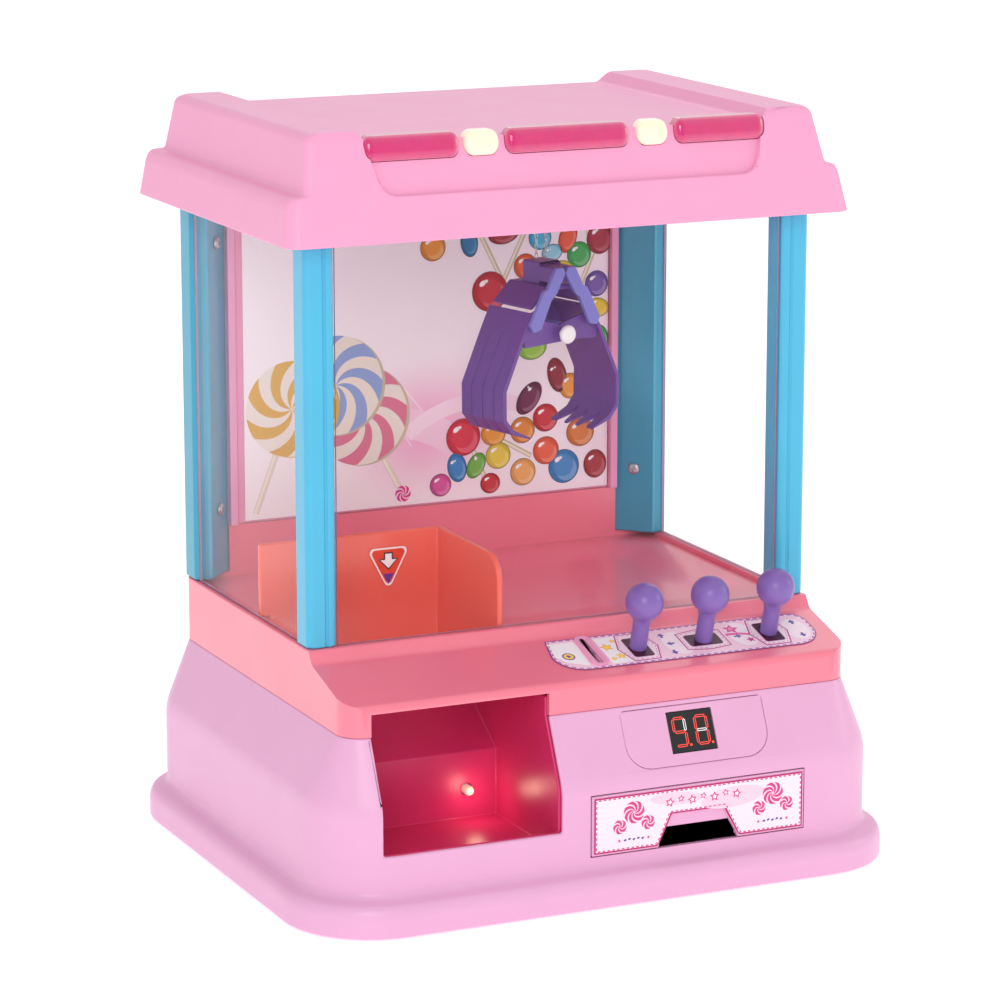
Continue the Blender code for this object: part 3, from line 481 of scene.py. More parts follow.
def strip_faces(rows, columns, around, loop):
    """Quads between neighbouring points of a grid, wrapped round a row or round the rows where asked."""
    v = np.arange(rows if loop else rows - 1)[:, None]
    u = np.arange(columns if around else columns - 1)[None, :]
    next_v, next_u = (v + 1) % rows, (u + 1) % columns
    corners = [v * columns + u, v * columns + next_u, next_v * columns + next_u, next_v * columns + u]
    return np.stack([c + 0 * u for c in corners], axis=-1).reshape(-1, 4).tolist()


def skin(name, grid, around=True, loop=False, caps=True, place=None):
    """A surface over a grid of points, with flat ends where caps is asked."""
    rows, columns = grid.shape[:2]
    faces = strip_faces(rows, columns, around, loop)
    if caps and not loop:
        faces += [list(range(columns))[::-1], list(range((rows - 1) * columns, rows * columns))]
    return tidy_mesh(new_piece(name, moved(grid.reshape(-1, 3), place), faces))


def prism(name, outline, low, high, axis="Z", place=None):
    """An outline carried along one axis from low to high."""
    outline = np.asarray(outline, float)
    ends = [np.column_stack([outline, np.full(len(outline), c)]) for c in (low, high)]
    order = {"X": [2, 0, 1], "Y": [0, 2, 1], "Z": [0, 1, 2]}[axis]
    return skin(name, np.stack(ends)[..., order], place=place)


def box(name, low, high, place=None):
    """A block between two corners."""
    outline = [(low[0], low[1]), (high[0], low[1]), (high[0], high[1]), (low[0], high[1])]
    return prism(name, outline, low[2], high[2], place=place)


def turned(name, profile, axis="Z", segments=48, place=None):
    """A profile of radius and height turned round an axis: radius times cosine and sine of the angle."""
    profile = np.asarray(profile, float)
    angle = np.linspace(0, 2 * np.pi, segments, endpoint=False)[None, :]
    radius, height = profile[:, 0:1], profile[:, 1:2]
    grid = np.stack([radius * np.cos(angle), radius * np.sin(angle), height + 0 * angle], axis=-1)
    order = {"X": [2, 0, 1], "Y": [0, 2, 1], "Z": [0, 1, 2]}[axis]
    return skin(name, grid[..., order], place=place)


def rounded_block(name, low, high, radii, steps=6, lean=0.0):
    """A block with fully rounded corners. Directions over a sphere are scaled by the corner radii and
    pushed out to the eight corners; lean moves y back with height."""
    low, high, radii = (np.asarray(v, float) for v in (low, high, radii))
    tilt = np.radians(np.concatenate([np.linspace(-90, -0.01, steps + 1), np.linspace(0.01, 90, steps + 1)]))
    quarter = np.linspace(0.01, 89.99, steps + 1)
    turn = np.radians(np.concatenate([quarter + 90 * k for k in range(4)]))
    normal = np.stack([np.cos(tilt)[:, None] * np.cos(turn), np.cos(tilt)[:, None] * np.sin(turn),
                       np.sin(tilt)[:, None] + 0 * turn], axis=-1)
    sign = np.stack([np.sign(np.cos(turn)) + 0 * tilt[:, None], np.sign(np.sin(turn)) + 0 * tilt[:, None],
                     np.sign(tilt)[:, None] + 0 * turn], axis=-1)
    middle, half = (low + high) / 2, (high - low) / 2
    grid = middle + sign * (half - radii) + normal * radii
    grid[..., 1] += (grid[..., 2] - middle[2]) * lean
    return skin(name, grid)


def carve(piece, *cutters, operation="DIFFERENCE"):
    """Takes the cutters out of the piece, keeps the result as its mesh and deletes the cutters."""
    for cutter in cutters:
        step = piece.modifiers.new("carve", "BOOLEAN")
        step.operation, step.solver, step.object = operation, "EXACT", cutter
        step.use_hole_tolerant = True
    bake(piece)
    for cutter in cutters:
        bpy.data.objects.remove(cutter)
    return tidy_mesh(piece, 0.01, recalculate=False)


def bake(piece):
    """Replaces the piece's mesh by what its modifiers make of it."""
    graph = bpy.context.evaluated_depsgraph_get()
    graph.update()
    mesh = bpy.data.meshes.new_from_object(piece.evaluated_get(graph))
    piece.modifiers.clear()
    piece.data = mesh
    return piece


def round_edges(piece, width, segments=3, angle=33, quiet=()):
    """Rounds every edge sharper than angle, width in mm, and leaves flat faces flat in the shading. Edges
    inside a quiet box, given by its two corners, stay as they are."""
    piece.data.shade_smooth()
    bevel = piece.modifiers.new("rounded_edges", "BEVEL")
    bevel.width, bevel.segments, bevel.limit_method = width * MM, segments, "ANGLE"
    bevel.angle_limit, bevel.use_clamp_overlap = math.radians(angle), False
    if quiet:
        bevel.limit_method = "WEIGHT"
        weigh_edges(piece, math.radians(angle), quiet)
    steady = piece.modifiers.new("steady_shading", "WEIGHTED_NORMAL")
    steady.keep_sharp = True
    return piece


def weigh_edges(piece, angle, quiet):
    """Full bevel weight for the edges sharper than angle whose middle is in no quiet box; the other edges as
    sharp as that are marked sharp."""
    work = bmesh.new()
    work.from_mesh(piece.data)
    turn = np.array([edge.calc_face_angle(0.0) for edge in work.edges])
    middle = np.array([(edge.verts[0].co + edge.verts[1].co) / 2 for edge in work.edges]) / MM
    work.free()
    sharp = turn > angle
    still = np.zeros(len(turn), bool)
    for low, high in quiet:
        still |= np.all((middle > low) & (middle < high), axis=1)
    layer = piece.data.attributes.new("bevel_weight_edge", "FLOAT", "EDGE")
    layer.data.foreach_set("value", (sharp & ~still).astype(np.float32))
    layer = piece.data.attributes.new("sharp_edge", "BOOLEAN", "EDGE")
    layer.data.foreach_set("value", sharp & still)


def settle(piece, angle=38):
    """Smooth shading that stays sharp at the edges left sharp."""
    piece.data.shade_smooth()
    piece.data.set_sharp_from_angle(angle=math.radians(angle))
    steady = piece.modifiers.new("steady_shading", "WEIGHTED_NORMAL")
    steady.keep_sharp = True
    return piece


def copy_of(node):
    """A copy of a CAD node whose loose triangles are joined and whose flat faces are made whole."""
    piece = bpy.data.objects.new(f"{node}_finished", frame["nodes"][node].data.copy())
    piece.data.materials.clear()
    bpy.context.scene.collection.objects.link(piece)
    work = bmesh.new()
    work.from_mesh(piece.data)
    bmesh.ops.remove_doubles(work, verts=work.verts, dist=0.004 * MM)
    bmesh.ops.dissolve_limit(work, angle_limit=math.radians(1.0), verts=work.verts, edges=work.edges)
    work.to_mesh(piece.data)
    work.free()
    if "custom_normal" in piece.data.attributes:
        piece.data.attributes.remove(piece.data.attributes["custom_normal"])
    return piece


def dress(piece, node, finish, replaces=None):
    """Gives a piece its material and lets it ride with, and stand for, a CAD node."""
    if not piece.data.materials:
        piece.data.materials.append(FINISH[finish])
    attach(piece, BODY_OF[node])
    names = [node] if replaces is None else list(replaces)
    if names:
        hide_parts(*names)
    return piece


def soften(node, finish, width, segments=2, angle=33):
    """The CAD shape with its edges rounded, standing for the node."""
    return dress(round_edges(copy_of(node), width, segments, angle), node, finish)


# ---- printing: flat shapes laid on each other, one step of thickness apart ----

def ellipse(cx, cy, rx, ry, turn=0.0, steps=28):
    """Ellipse: cosine and sine of the angle times the two radii, then turned by an angle in degrees."""
    angle = np.linspace(0, 2 * np.pi, steps, endpoint=False)
    a, b, t = rx * np.cos(angle), ry * np.sin(angle), math.radians(turn)
    return np.column_stack([cx + a * math.cos(t) - b * math.sin(t), cy + a * math.sin(t) + b * math.cos(t)])


def star(cx, cy, radius, points=5, turn=90.0, waist=0.48):
    """Star: the radius steps between full and waist at every half point."""
    angle = np.radians(turn + np.arange(2 * points) * 180.0 / points)
    reach = np.where(np.arange(2 * points) % 2 == 0, radius, radius * waist)
    return np.column_stack([cx + reach * np.cos(angle), cy + reach * np.sin(angle)])


def swirl_arm(cx, cy, radius, index, count, twist, width=0.5, steps=14, hub=0.04):
    """One arm of a swirl: both edges are spirals whose angle grows with the radius by twist degrees, and
    an arc of the rim joins them."""
    part = np.linspace(hub, 1.0, steps + 1)
    start = 360.0 / count * index
    near = np.radians(start + twist * part)
    far = near + np.radians(360.0 / count * width)
    rim = np.linspace(near[-1], far[-1], 6)[1:-1]
    angle = np.concatenate([near, rim, far[::-1]])
    reach = radius * np.concatenate([part, np.ones(4), part[::-1]])
    return np.column_stack([cx + reach * np.cos(angle), cy + reach * np.sin(angle)])


def bar(x0, y0, x1, y1, width):
    """Straight bar between two points."""
    along = np.array([x1 - x0, y1 - y0]) / math.hypot(x1 - x0, y1 - y0)
    side = np.array([-along[1], along[0]]) * width / 2
    ends = np.array([[x0, y0], [x1, y1]])
    return np.concatenate([ends - side, ends[::-1] + side])


def grown(outline, amount):
    """Outline pushed outwards along the mean of its two edge normals at each point."""
    outline = np.asarray(outline, float)
    edge = np.roll(outline, -1, axis=0) - outline
    edge /= np.maximum(np.linalg.norm(edge, axis=1, keepdims=True), 1e-9)
    normal = np.column_stack([edge[:, 1], -edge[:, 0]])
    mean = normal + np.roll(normal, 1, axis=0)
    scale = amount * 2 / np.maximum((mean ** 2).sum(axis=1, keepdims=True), 1.0)
    return outline + mean * scale


def dashes(outline, length, gap, width):
    """Short bars laid end to end along a closed outline, placed by distance along it."""
    closed = np.vstack([outline, outline[:1]])
    run = np.concatenate([[0], np.cumsum(np.linalg.norm(np.diff(closed, axis=0), axis=1))])
    count = max(int(run[-1] // (length + gap)), 1)
    starts = np.arange(count) * run[-1] / count
    ends = starts + length
    head = np.column_stack([np.interp(starts, run, closed[:, i]) for i in (0, 1)])
    tail = np.column_stack([np.interp(ends, run, closed[:, i]) for i in (0, 1)])
    return [bar(*a, *b, width) for a, b in zip(head, tail)]


class Print:
    """Shapes to be printed, each with its layer and ink."""

    def __init__(self):
        self.shapes = []

    def lay(self, layer, code, *outlines):
        self.shapes += [(np.asarray(o, float), layer, linear(code)) for o in outlines]

    def make(self, name, place, step=0.035, start=0.0):
        """Each shape is a thin plate: its outline at its layer's height, and a skirt down to the base."""
        points, faces, inks, base = [], [], [], 0
        for outline, layer, ink in self.shapes:
            count = len(outline)
            top, foot = start + step * (layer + 1), start - 0.01
            points += [np.column_stack([outline, np.full(count, h)]) for h in (foot, top)]
            ring = np.arange(count)
            after = (ring + 1) % count
            sides = np.column_stack([ring, after, after + count, ring + count]) + base
            faces += sides.tolist() + [(ring + count + base).tolist(), (ring[::-1] + base).tolist()]
            inks.append(np.tile(ink, (len(outline) * 4 + 2 * count, 1)))
            base += 2 * count
        piece = new_piece(name, moved(np.concatenate(points), place), faces)
        piece.data.shade_flat()
        layer = piece.data.color_attributes.new("ink", "FLOAT_COLOR", "CORNER")
        layer.data.foreach_set("color", np.concatenate(inks).astype(np.float32).ravel())
        return piece


def pinwheel(sheet, layer, cx, cy, radius, ink, pale, arms=7):
    """A round sweet: a pale disc under curved arms of ink."""
    sheet.lay(layer, pale, ellipse(cx, cy, radius, radius))
    sheet.lay(layer + 1, ink, *[swirl_arm(cx, cy, radius * 0.97, i, arms, 100, 0.66, 8, 0.1)
                                for i in range(arms)])


# ---- pieces: base ----

def base_levels(grow):
    """Rows of the base skin from the foot to the top, moved outwards by grow, with its corners eased."""
    sizes = [(1.0, PLINTH_X, PLINTH_Y, PLINTH_R), (PLINTH_TOP, PLINTH_X, PLINTH_Y, PLINTH_R),
             (15.5, 153.0, 129.0, 42.0), (BODY_FOOT, BODY_X, BODY_Y, BODY_R),
             (BEND_Z, BODY_X, BODY_Y, BODY_R), (BASE_TOP, DECK_X, DECK_Y, DECK_R)]
    return [(z, x + grow, -y - grow, y + grow, r + grow) for z, x, y, r in sizes]


def make_base_shell():
    """Base: one closed skin of rounded rectangles, up the outside and down the inside, then the prize
    opening, the drawer's way and the seats of bezel and switch are cut."""
    steps = bpy.context.scene.crane_shape.corner_steps
    outer, inner = base_levels(0.0), base_levels(-WALL)
    top = (BASE_TOP, DECK_X - 1.2, -DECK_Y + 1.2, DECK_Y - 1.2, DECK_R - 1.2)
    foot = (1.0, PLINTH_X - 1.2, -PLINTH_Y + 1.2, PLINTH_Y - 1.2, PLINTH_R - 1.2)
    outside = eased([foot] + outer + [top], [1.0, 3.0, 1.6, 3.2, 5.0, 1.0])
    inside = eased(inner[::-1], [5.0, 3.0, 1.5, 3.0])
    grid = rounded_plans(np.concatenate([outside, inside]), steps)
    shell = skin("base_shell_finished", grid, loop=True)
    left, right, sill, high = MOUTH
    carve(shell, box("cut_mouth", (left, -150, sill), (right, -80, high)))
    round_edges(shell, bpy.context.scene.crane_shape.edge / MM * 0.8, 3, 40)
    bake(shell)
    trim_top(shell, BASE_TOP)
    low, high = span("token_drawer")
    cuts = [box("cut_drawer", (low[0] - 0.6, -150, low[2] - 0.6), (high[0] + 0.6, -105, high[2] + 0.6))]
    place = slope_frame((-BODY_Y, BEND_Z), (-DECK_Y, BASE_TOP))
    cuts.append(prism("cut_seat", grown(bezel_outline(), GAP), -1.5, 5.0, place=place))
    window = rounded(*display_window(0.3), 0.5, 3)
    cuts.append(prism("cut_window", window, -9.0, 5.0, place=place))
    cuts.append(box("cut_switch", (53.5, 110, 36.0), (68.5, 140, 41.0)))
    carve(shell, *cuts)
    dress(settle(shell), "base_shell", "pink_body")


def trim_top(piece, height):
    """Presses every point above height down to it."""
    points = np.zeros(len(piece.data.vertices) * 3)
    piece.data.vertices.foreach_get("co", points)
    points[2::3] = np.minimum(points[2::3], height * MM)
    piece.data.vertices.foreach_set("co", points)
    piece.data.update()


def bezel_outline():
    """Bezel in the slope's plane: a straight top and a bottom with wide round corners."""
    left, right = BEZEL
    low, high, radius = 4.5, 33.0, 12.0
    parts = [arc(left + radius, low + radius, radius, 180, 270, 10),
             arc(right - radius, low + radius, radius, 270, 360, 10),
             arc(right - 2, high - 2, 2, 0, 90, 3), arc(left + 2, high - 2, 2, 90, 180, 3)]
    return np.concatenate(parts)


def display_window(grow):
    """Left, right, low and high of the display window in the slope's plane."""
    middle, half, low, high = 42.75, 11.75, 10.4, 19.5
    return middle - half - grow, middle + half + grow, low - grow, low + high + grow


def make_underside():
    """Bottom plate and battery tub from the CAD shape; the lid gets seven finger ribs in a row, and each
    foot is a turned pad with a rounded tread."""
    for node in ("base_floor", "battery_door"):
        soften(node, "pink_body", 0.4)
    soften("battery_box", "grey_plastic", 0.5)
    low, high = span("battery_door")
    middle = (low + high) / 2
    ribs = [box(f"rib_{i}", (x - 0.6, low[1] + 8, low[2] - 0.25), (x + 0.6, high[1] - 8, low[2] + 0.2))
            for i, x in enumerate(np.linspace(middle[0] - 9, middle[0] + 9, 7))]
    grip = join("battery_door_grip", ribs)
    dress(grip, "battery_door", "pink_body", replaces=[])
    for index in range(4):
        node = f"rubber_foot_{index + 1}"
        low, high = span(node)
        middle = (low + high) / 2
        radius = (high[0] - low[0]) / 2
        profile = [(0, low[2] + 0.5), (radius - 3, low[2] + 0.5), (radius - 2.6, low[2]),
                   (radius - 1.0, low[2]), (radius - 0.3, low[2] + 0.4), (radius, low[2] + 1.2),
                   (radius, high[2]), (0, high[2])]
        place = Matrix.Translation((middle[0], middle[1], 0))
        dress(settle(turned(f"{node}_finished", profile, place=place)), node, "rubber")


def join(name, pieces):
    """Several meshes as one object."""
    work = bmesh.new()
    for piece in pieces:
        work.from_mesh(piece.data)
        bpy.data.objects.remove(piece)
    mesh = bpy.data.meshes.new(name)
    work.to_mesh(mesh)
    work.free()
    mesh.shade_smooth()
    joined = bpy.data.objects.new(name, mesh)
    bpy.context.scene.collection.objects.link(joined)
    return joined


def make_bin():
    """Prize bin from the CAD shape; its lamp is turned, with a quarter-ellipse dome towards the front."""
    soften("prize_bin", "crimson", 0.7, 3)
    low, high = span("bin_led")
    middle = (low + high) / 2
    radius = (high[2] - low[2]) / 2
    turn = np.linspace(0.01, np.pi / 2, 9)
    dome = np.column_stack([radius * np.sin(turn), low[1] + 3 - 3 * np.cos(turn)])
    profile = np.vstack([[0, low[1]], dome, [radius, high[1]], [0, high[1]]])
    place = Matrix.Translation((middle[0], 0, middle[2]))
    dress(settle(turned("bin_led_finished", profile, "Y", 32, place)), "bin_led", "amber_lens")


# ---- pieces: counter and drawer ----

def segment(x, y, long, wide, upright):
    """One display segment: a bar with pointed ends."""
    a, b = long / 2, wide / 2
    shape = np.array([(-a, 0), (-a + b, -b), (a - b, -b), (a, 0), (a - b, b), (-a + b, b)])
    if upright:
        shape = np.column_stack([-shape[:, 1], shape[:, 0]])
    return shape + [x, y]


def make_counter():
    """Bezel and dark display glass, with two digits of raised pointed bars and a dot each; a thin dark
    core is laid on every bar."""
    soften("counter_bezel", "pink_body", 0.45)
    place = slope_frame((-BODY_Y, BEND_Z), (-DECK_Y, BASE_TOP))
    left, right, low, high = display_window(0.0)
    glass = prism("counter_display_finished", rounded(left, right, low, high, 0.5, 3), -8.0, -0.5,
                  place=place)
    dress(round_edges(glass, 0.2, 2), "counter_display", "black")
    tall, wide, thick = 6.6, 6.0, 1.35
    middle_y = (low + high) / 2
    red, pale, dark = [], [], []
    for number, x in enumerate((left + 5.6, left + 17.2)):
        spots = {"a": (x, middle_y + tall, 0), "g": (x, middle_y, 0), "d": (x, middle_y - tall, 0),
                 "f": (x - wide / 2, middle_y + tall / 2, 1), "b": (x + wide / 2, middle_y + tall / 2, 1),
                 "e": (x - wide / 2, middle_y - tall / 2, 1), "c": (x + wide / 2, middle_y - tall / 2, 1)}
        for key, (sx, sy, upright) in spots.items():
            long = (tall if upright else wide) - 0.5
            if number == 0 and key == "e":
                continue
            target = pale if (number == 0 and key == "b") or (number == 1 and key == "g") else red
            target.append(segment(sx, sy, long, thick, upright))
            dark.append(segment(sx, sy, long - 1.0, thick * 0.42, upright))
        red.append(ellipse(x + wide / 2 + 1.6, middle_y - tall, 0.65, 0.65, steps=14))
    # The unlit segments take the white finish, whose faint glow is painted light.
    for name, shapes, finish, top in (("counter_digits", red, "lit_red", 0.05),
                                      ("counter_digits_unlit", pale, "unlit_white_painted_glow", 0.05),
                                      ("counter_digit_cores", dark, "black", 0.09)):
        plates = [prism(f"{name}_{i}", s, -0.55, -0.5 + top, place=place) for i, s in enumerate(shapes)]
        piece = join(name, plates)
        piece.data.shade_flat()
        dress(piece, "counter_display", finish, replaces=[])


def make_drawer():
    """Token drawer: its front card carries a stitched border, six pinwheels and a row of stars, and runs
    round the finger notch; a lip closes the notch's upper edge."""
    soften("token_drawer", "pink_body", 0.5, 3)
    low, high = span("drawer_label")
    left, right, bottom, top = low[0], high[0], low[2], high[2]

    def card(inset):
        """Card outline with the notch, moved inwards by inset."""
        cut = np.array([(63.9, bottom + inset), (62.7, 26.0 + 0.2 * inset), (55.1, 39.7), (27.6, 39.7),
                        (21.1, 26.0 + 0.2 * inset), (20.0, bottom + inset)])
        cut[:3, 0] += inset
        cut[3:, 0] -= inset
        cut[2:4, 1] += inset
        around = np.array([(left + inset, bottom + inset), (left + inset, top - inset),
                           (right - inset, top - inset), (right - inset, bottom + inset)])
        return np.vstack([around, cut])[::-1]

    sheet = Print()
    sheet.lay(0, "#C2266F", card(0.0))
    sheet.lay(1, "#FBF3F6", card(0.75))
    sheet.lay(2, "#D6579A", *dashes(card(1.15), 1.5, 1.0, 0.6))
    sheet.lay(1.5, "#FCE4EE", card(1.6))
    sheet.lay(1.7, "#F9CFE0", ellipse(60, 44, 17, 5, 4), ellipse(30, 47, 14, 3.0, -4))
    mid = 38.5
    for x in (7.6, 81.5):
        pinwheel(sheet, 3, x, mid + 4.6, 5.6, "#D64A8E", "#FBDCE8", 7)
        pinwheel(sheet, 3, x - 7.4, mid - 1.8, 3.6, "#D64A8E", "#FBDCE8", 5)
        pinwheel(sheet, 3, x + 7.4, mid - 1.2, 3.6, "#D64A8E", "#FBDCE8", 5)
        sheet.lay(3, "#5B4A9A", *[ellipse(x + k * 2.3, mid - 8.6 + 0.35 * (k % 2), 0.75, 0.5, 20, 14)
                                  for k in range(-2, 3)])
        sheet.lay(3, "#D64A8E", star(x - 7.6, mid - 8.6, 0.9), star(x + 7.6, mid - 8.6, 0.9))
    for index, x in enumerate(np.linspace(26.5, 62.0, 7)):
        z, rim, core = (46.6, 1.9, 0.9) if index % 2 else (45.4, 2.6, 1.3)
        turn = 90 + 12 * (index % 3 - 1)
        sheet.lay(3, "#D64A8E", star(x, z, rim, turn=turn))
        sheet.lay(4, "#FFFFFF", star(x, z, core, turn=turn))
    piece = sheet.make("drawer_label_finished", front_frame(low[1] + 0.5))
    dress(piece, "drawer_label", "label")
    face = span("token_drawer")[0][1]
    lip = prism("drawer_lip", [(24.6, 33.2), (58.6, 33.2), (55.0, 39.8), (27.8, 39.8)], face + 0.9,
                face + 2.4, "Y")
    dress(round_edges(lip, 0.4, 2), "token_drawer", "pink_body", replaces=[])


# ---- pieces: deck, tray and chute ----

def make_deck():
    """Deck: a side profile with eased corners, carried along x and cut to the rounded plan. A sill is
    added at the back; then the hollow under the panel, the well, the prize opening, the bin's way and the
    slots are cut, and the upper outside edges are rounded."""
    steps = bpy.context.scene.crane_shape.corner_steps
    foot = 90.3
    side = [(-DECK_Y, foot), (-DECK_Y, 104.5), PANEL_BACK, (-62.6, 121.6), (-61.2, RIM_Z),
            (DECK_Y, RIM_Z), (DECK_Y, foot)]
    profile = eased(side, [3.2, 2.6, 1.2, 1.0, 0.1], 7)
    profile = np.maximum(profile, [-DECK_Y, foot])
    deck = prism("deck_frame_finished", profile, -DECK_X, DECK_X, "X")
    plan = rounded(-DECK_X - 0.001, DECK_X + 0.001, -DECK_Y - 0.001, DECK_Y + 0.001, DECK_R, steps)
    carve(deck, prism("trim_plan", plan, 60, 160), operation="INTERSECT")
    sill = box("back_sill", (-108.0, 100.6, 120), (108.0, 104.6, 145.5))
    carve(deck, sill, operation="UNION")
    under = [(-104.5, 80), (-104.5, 102.5), (PANEL_BACK[0], 113.3), (-60.0, 113.3), (-60.0, 80)]
    hollow = prism("hollow", under, -DECK_X + WALL, DECK_X - WALL, "X")
    core = rounded(-DECK_X + WALL, DECK_X - WALL, -DECK_Y + WALL - 0.05, 0.0, DECK_R - WALL, 8)
    carve(hollow, prism("trim_hollow", core, 60, 160), operation="INTERSECT")
    left, right, _, high = MOUTH
    cuts = [hollow, prism("cut_well", rounded(-WELL_X, WELL_X, WELL_FRONT, WELL_BACK, 3.0, 4), 60, 200),
            box("cut_deck_mouth", (left, -120, 80), (right, -100, high)),
            box("cut_bin_way", (left - 1.4, -104.5, 80), (right + 1.4, 20, 99.3))]
    place = slope_frame(PANEL_FRONT, PANEL_BACK)
    cuts += [prism(f"cut_slot_{i}", s, -9, 5, place=place) for i, s in enumerate(panel_slots())]
    for cutter in cuts:
        carve(deck, cutter)
    quiet = [((-200, -200, 0), (200, 200, RIM_Z - 0.1)), ((-130, 99, 0), (130, 106.5, 150)),
             ((-200, -200, 0), (200, -56, 150))]
    dress(round_edges(deck, 0.8, 3, 33, quiet), "deck_frame", "coral")


def slope_at(y):
    """Distance up the panel's slope of a point at y."""
    return (y - PANEL_FRONT[0]) / math.cos(math.atan2(PANEL_BACK[1] - PANEL_FRONT[1],
                                                      PANEL_BACK[0] - PANEL_FRONT[0]))


def panel_slots():
    """The coin slot and three joystick slots, in the panel's plane."""
    foot = slope_at(STICK_Y)
    slots = [rounded(3.0, 5.6, foot - 10.5, foot + 12.5, 1.0, 4)]
    for index, x in enumerate(STICK_X):
        wide, long = (8.6, 5.2) if index == 1 else (5.2, 8.6)
        slots.append(rounded(x - wide, x + wide, foot - long, foot + long, 1.5, 4))
    return slots


def make_panel_label():
    """Printed panel card: dashed purple edge, framed stick openings and plain arrows for the moves. The
    slots' shadowed insides are painted shade, laid on the card as dark patches, and the coin slot has a
    raised rim."""
    place = slope_frame(PANEL_FRONT, PANEL_BACK)
    low, high, left, right, corner = 7.0, 36.0, -17.0, 123.5, 14.0
    outline = np.concatenate([arc(left + corner, low + corner, corner, 180, 270, 10),
                              arc(right - corner, low + corner, corner, 270, 360, 10),
                              arc(right - 8, high - 8, 8, 0, 90, 6), [(left + 3, high)]])
    sheet = Print()
    foot = slope_at(STICK_Y)
    sheet.lay(0, "#8E3A92", outline)
    sheet.lay(1, "#F7DCEA", grown(outline, -0.55))
    sheet.lay(2, "#B65AAE", *dashes(grown(outline, -1.1), 2.2, 1.5, 0.7))
    sheet.lay(1.5, "#FAD0E2", grown(outline, -1.8))
    sheet.lay(2, "#FBF6F8", [(left + 2.6, high - 3), (left + 2.0, foot), (left + 5.5, low + 8),
                             (-1.6, low + 3.4), (0.4, high - 3)])
    sheet.lay(2, "#FBF6F8", [(10.0, low + 2.6), (22, low + 2.6), (22, high - 2.6), (10.0, high - 2.6)])
    sheet.lay(2, "#FCE9F1", ellipse(50, foot, 7.5, 10.5), ellipse(85, foot + 1, 7, 11),
              ellipse(114, foot, 6.5, 9.5))
    frames = [[(17.6, foot), (21.5, foot + 13), (35.5, foot + 13), (39.4, foot), (35.5, foot - 12),
               (21.5, foot - 12)],
              [(51.6, foot - 7.6), (51.6, foot + 7.8), (63.5, foot + 10), (75.4, foot + 7.8),
               (75.4, foot - 7.6), (63.5, foot - 9.4)],
              [(88.4, foot), (92.2, foot + 13), (105.8, foot + 13), (109.6, foot), (105.8, foot - 12),
               (92.2, foot - 12)]]
    for shape in frames:
        shape = shape[::-1]
        sheet.lay(3, "#C43C92", shape)
        sheet.lay(4, "#FBE3EE", grown(shape, -0.7))
        sheet.lay(5, "#E58BBB", *dashes(grown(shape, -1.5), 1.4, 1.2, 0.45))
    for cx, cy, radius, turn in ((13.5, foot + 3.4, 3.6, 100), (17.0, foot - 5.6, 3.0, 80),
                                 (12.6, foot - 7.4, 1.9, 95), (18.6, foot + 8.2, 1.9, 95)):
        sheet.lay(3, "#F0B23A", star(cx, cy, radius, turn=turn, waist=0.5))
        sheet.lay(4, "#FFD95A", star(cx, cy, radius * 0.78, turn=turn, waist=0.5))
    swoosh = np.concatenate([arc(80, foot - 16, 19, 60, 100, 8), arc(80, foot - 19.5, 20.5, 100, 62, 8)])
    sheet.lay(3, "#E85BA6", swoosh)
    sheet.lay(4, "#D93A92", star(81.5, foot + 6.5, 4.2, turn=78))
    sheet.lay(5, "#F48CC0", star(81.5, foot + 6.5, 2.3, turn=78))
    sheet.lay(4, "#D93A92", star(87.0, foot - 4.8, 2.4, turn=100))
    arrow = np.array([(0, 2.3), (-2.0, -0.3), (-0.7, -0.3), (-0.7, -2.2), (0.7, -2.2), (0.7, -0.3),
                      (2.0, -0.3)])
    for cx, cy, turn in ((46.0, foot, 90), (82.0, foot - 0.5, -90), (115.0, foot + 6.5, 0),
                         (115.0, foot - 6.0, 180), (44.5, foot + 8, 0), (44.5, foot - 8, 180)):
        t = math.radians(turn)
        spin = np.array([[math.cos(t), math.sin(t)], [-math.sin(t), math.cos(t)]])
        sheet.lay(4, "#6A4FA8", (arrow * 0.9) @ spin + [cx, cy])
    sheet.lay(3, "#6A4FA8", ellipse(-8.5, foot - 1, 3.2, 3.2))
    sheet.lay(4, "#FFD95A", ellipse(-8.5, foot - 1, 2.5, 2.5))
    sheet.lay(5, "#6A4FA8", star(-8.5, foot - 1, 1.5))
    # Painted shade: each slot's shadowed inside is a dark patch on the card, in a mid-pink ring.
    for slot in panel_slots():
        sheet.lay(6, "#C06A9E", grown(slot, 0.3))
        sheet.lay(7, "#4A1A36", slot)
    card = sheet.make("control_label_finished", place, start=GAP)
    dress(card, "control_label", "label")
    rim = prism("coin_slot_rim", [(-0.2, foot - 9.5), (2.2, foot - 12.6), (6.6, foot - 12.6),
                                  (8.9, foot - 9.5), (8.9, foot + 11.8), (6.6, foot + 14.6),
                                  (2.2, foot + 14.6), (-0.2, foot + 11.8)], 0.25, 1.5, place=place)
    carve(rim, prism("cut_rim", rounded(1.9, 6.7, foot - 11.0, foot + 13.0, 1.6, 4), 0.95, 5,
                     place=place))
    carve(rim, prism("cut_rim_slot", panel_slots()[0], -5, 5, place=place))
    dress(round_edges(rim, 0.3, 2), "control_label", "pink_body", replaces=[])
    rim.data.materials[0] = FINISH["pink_roof"]


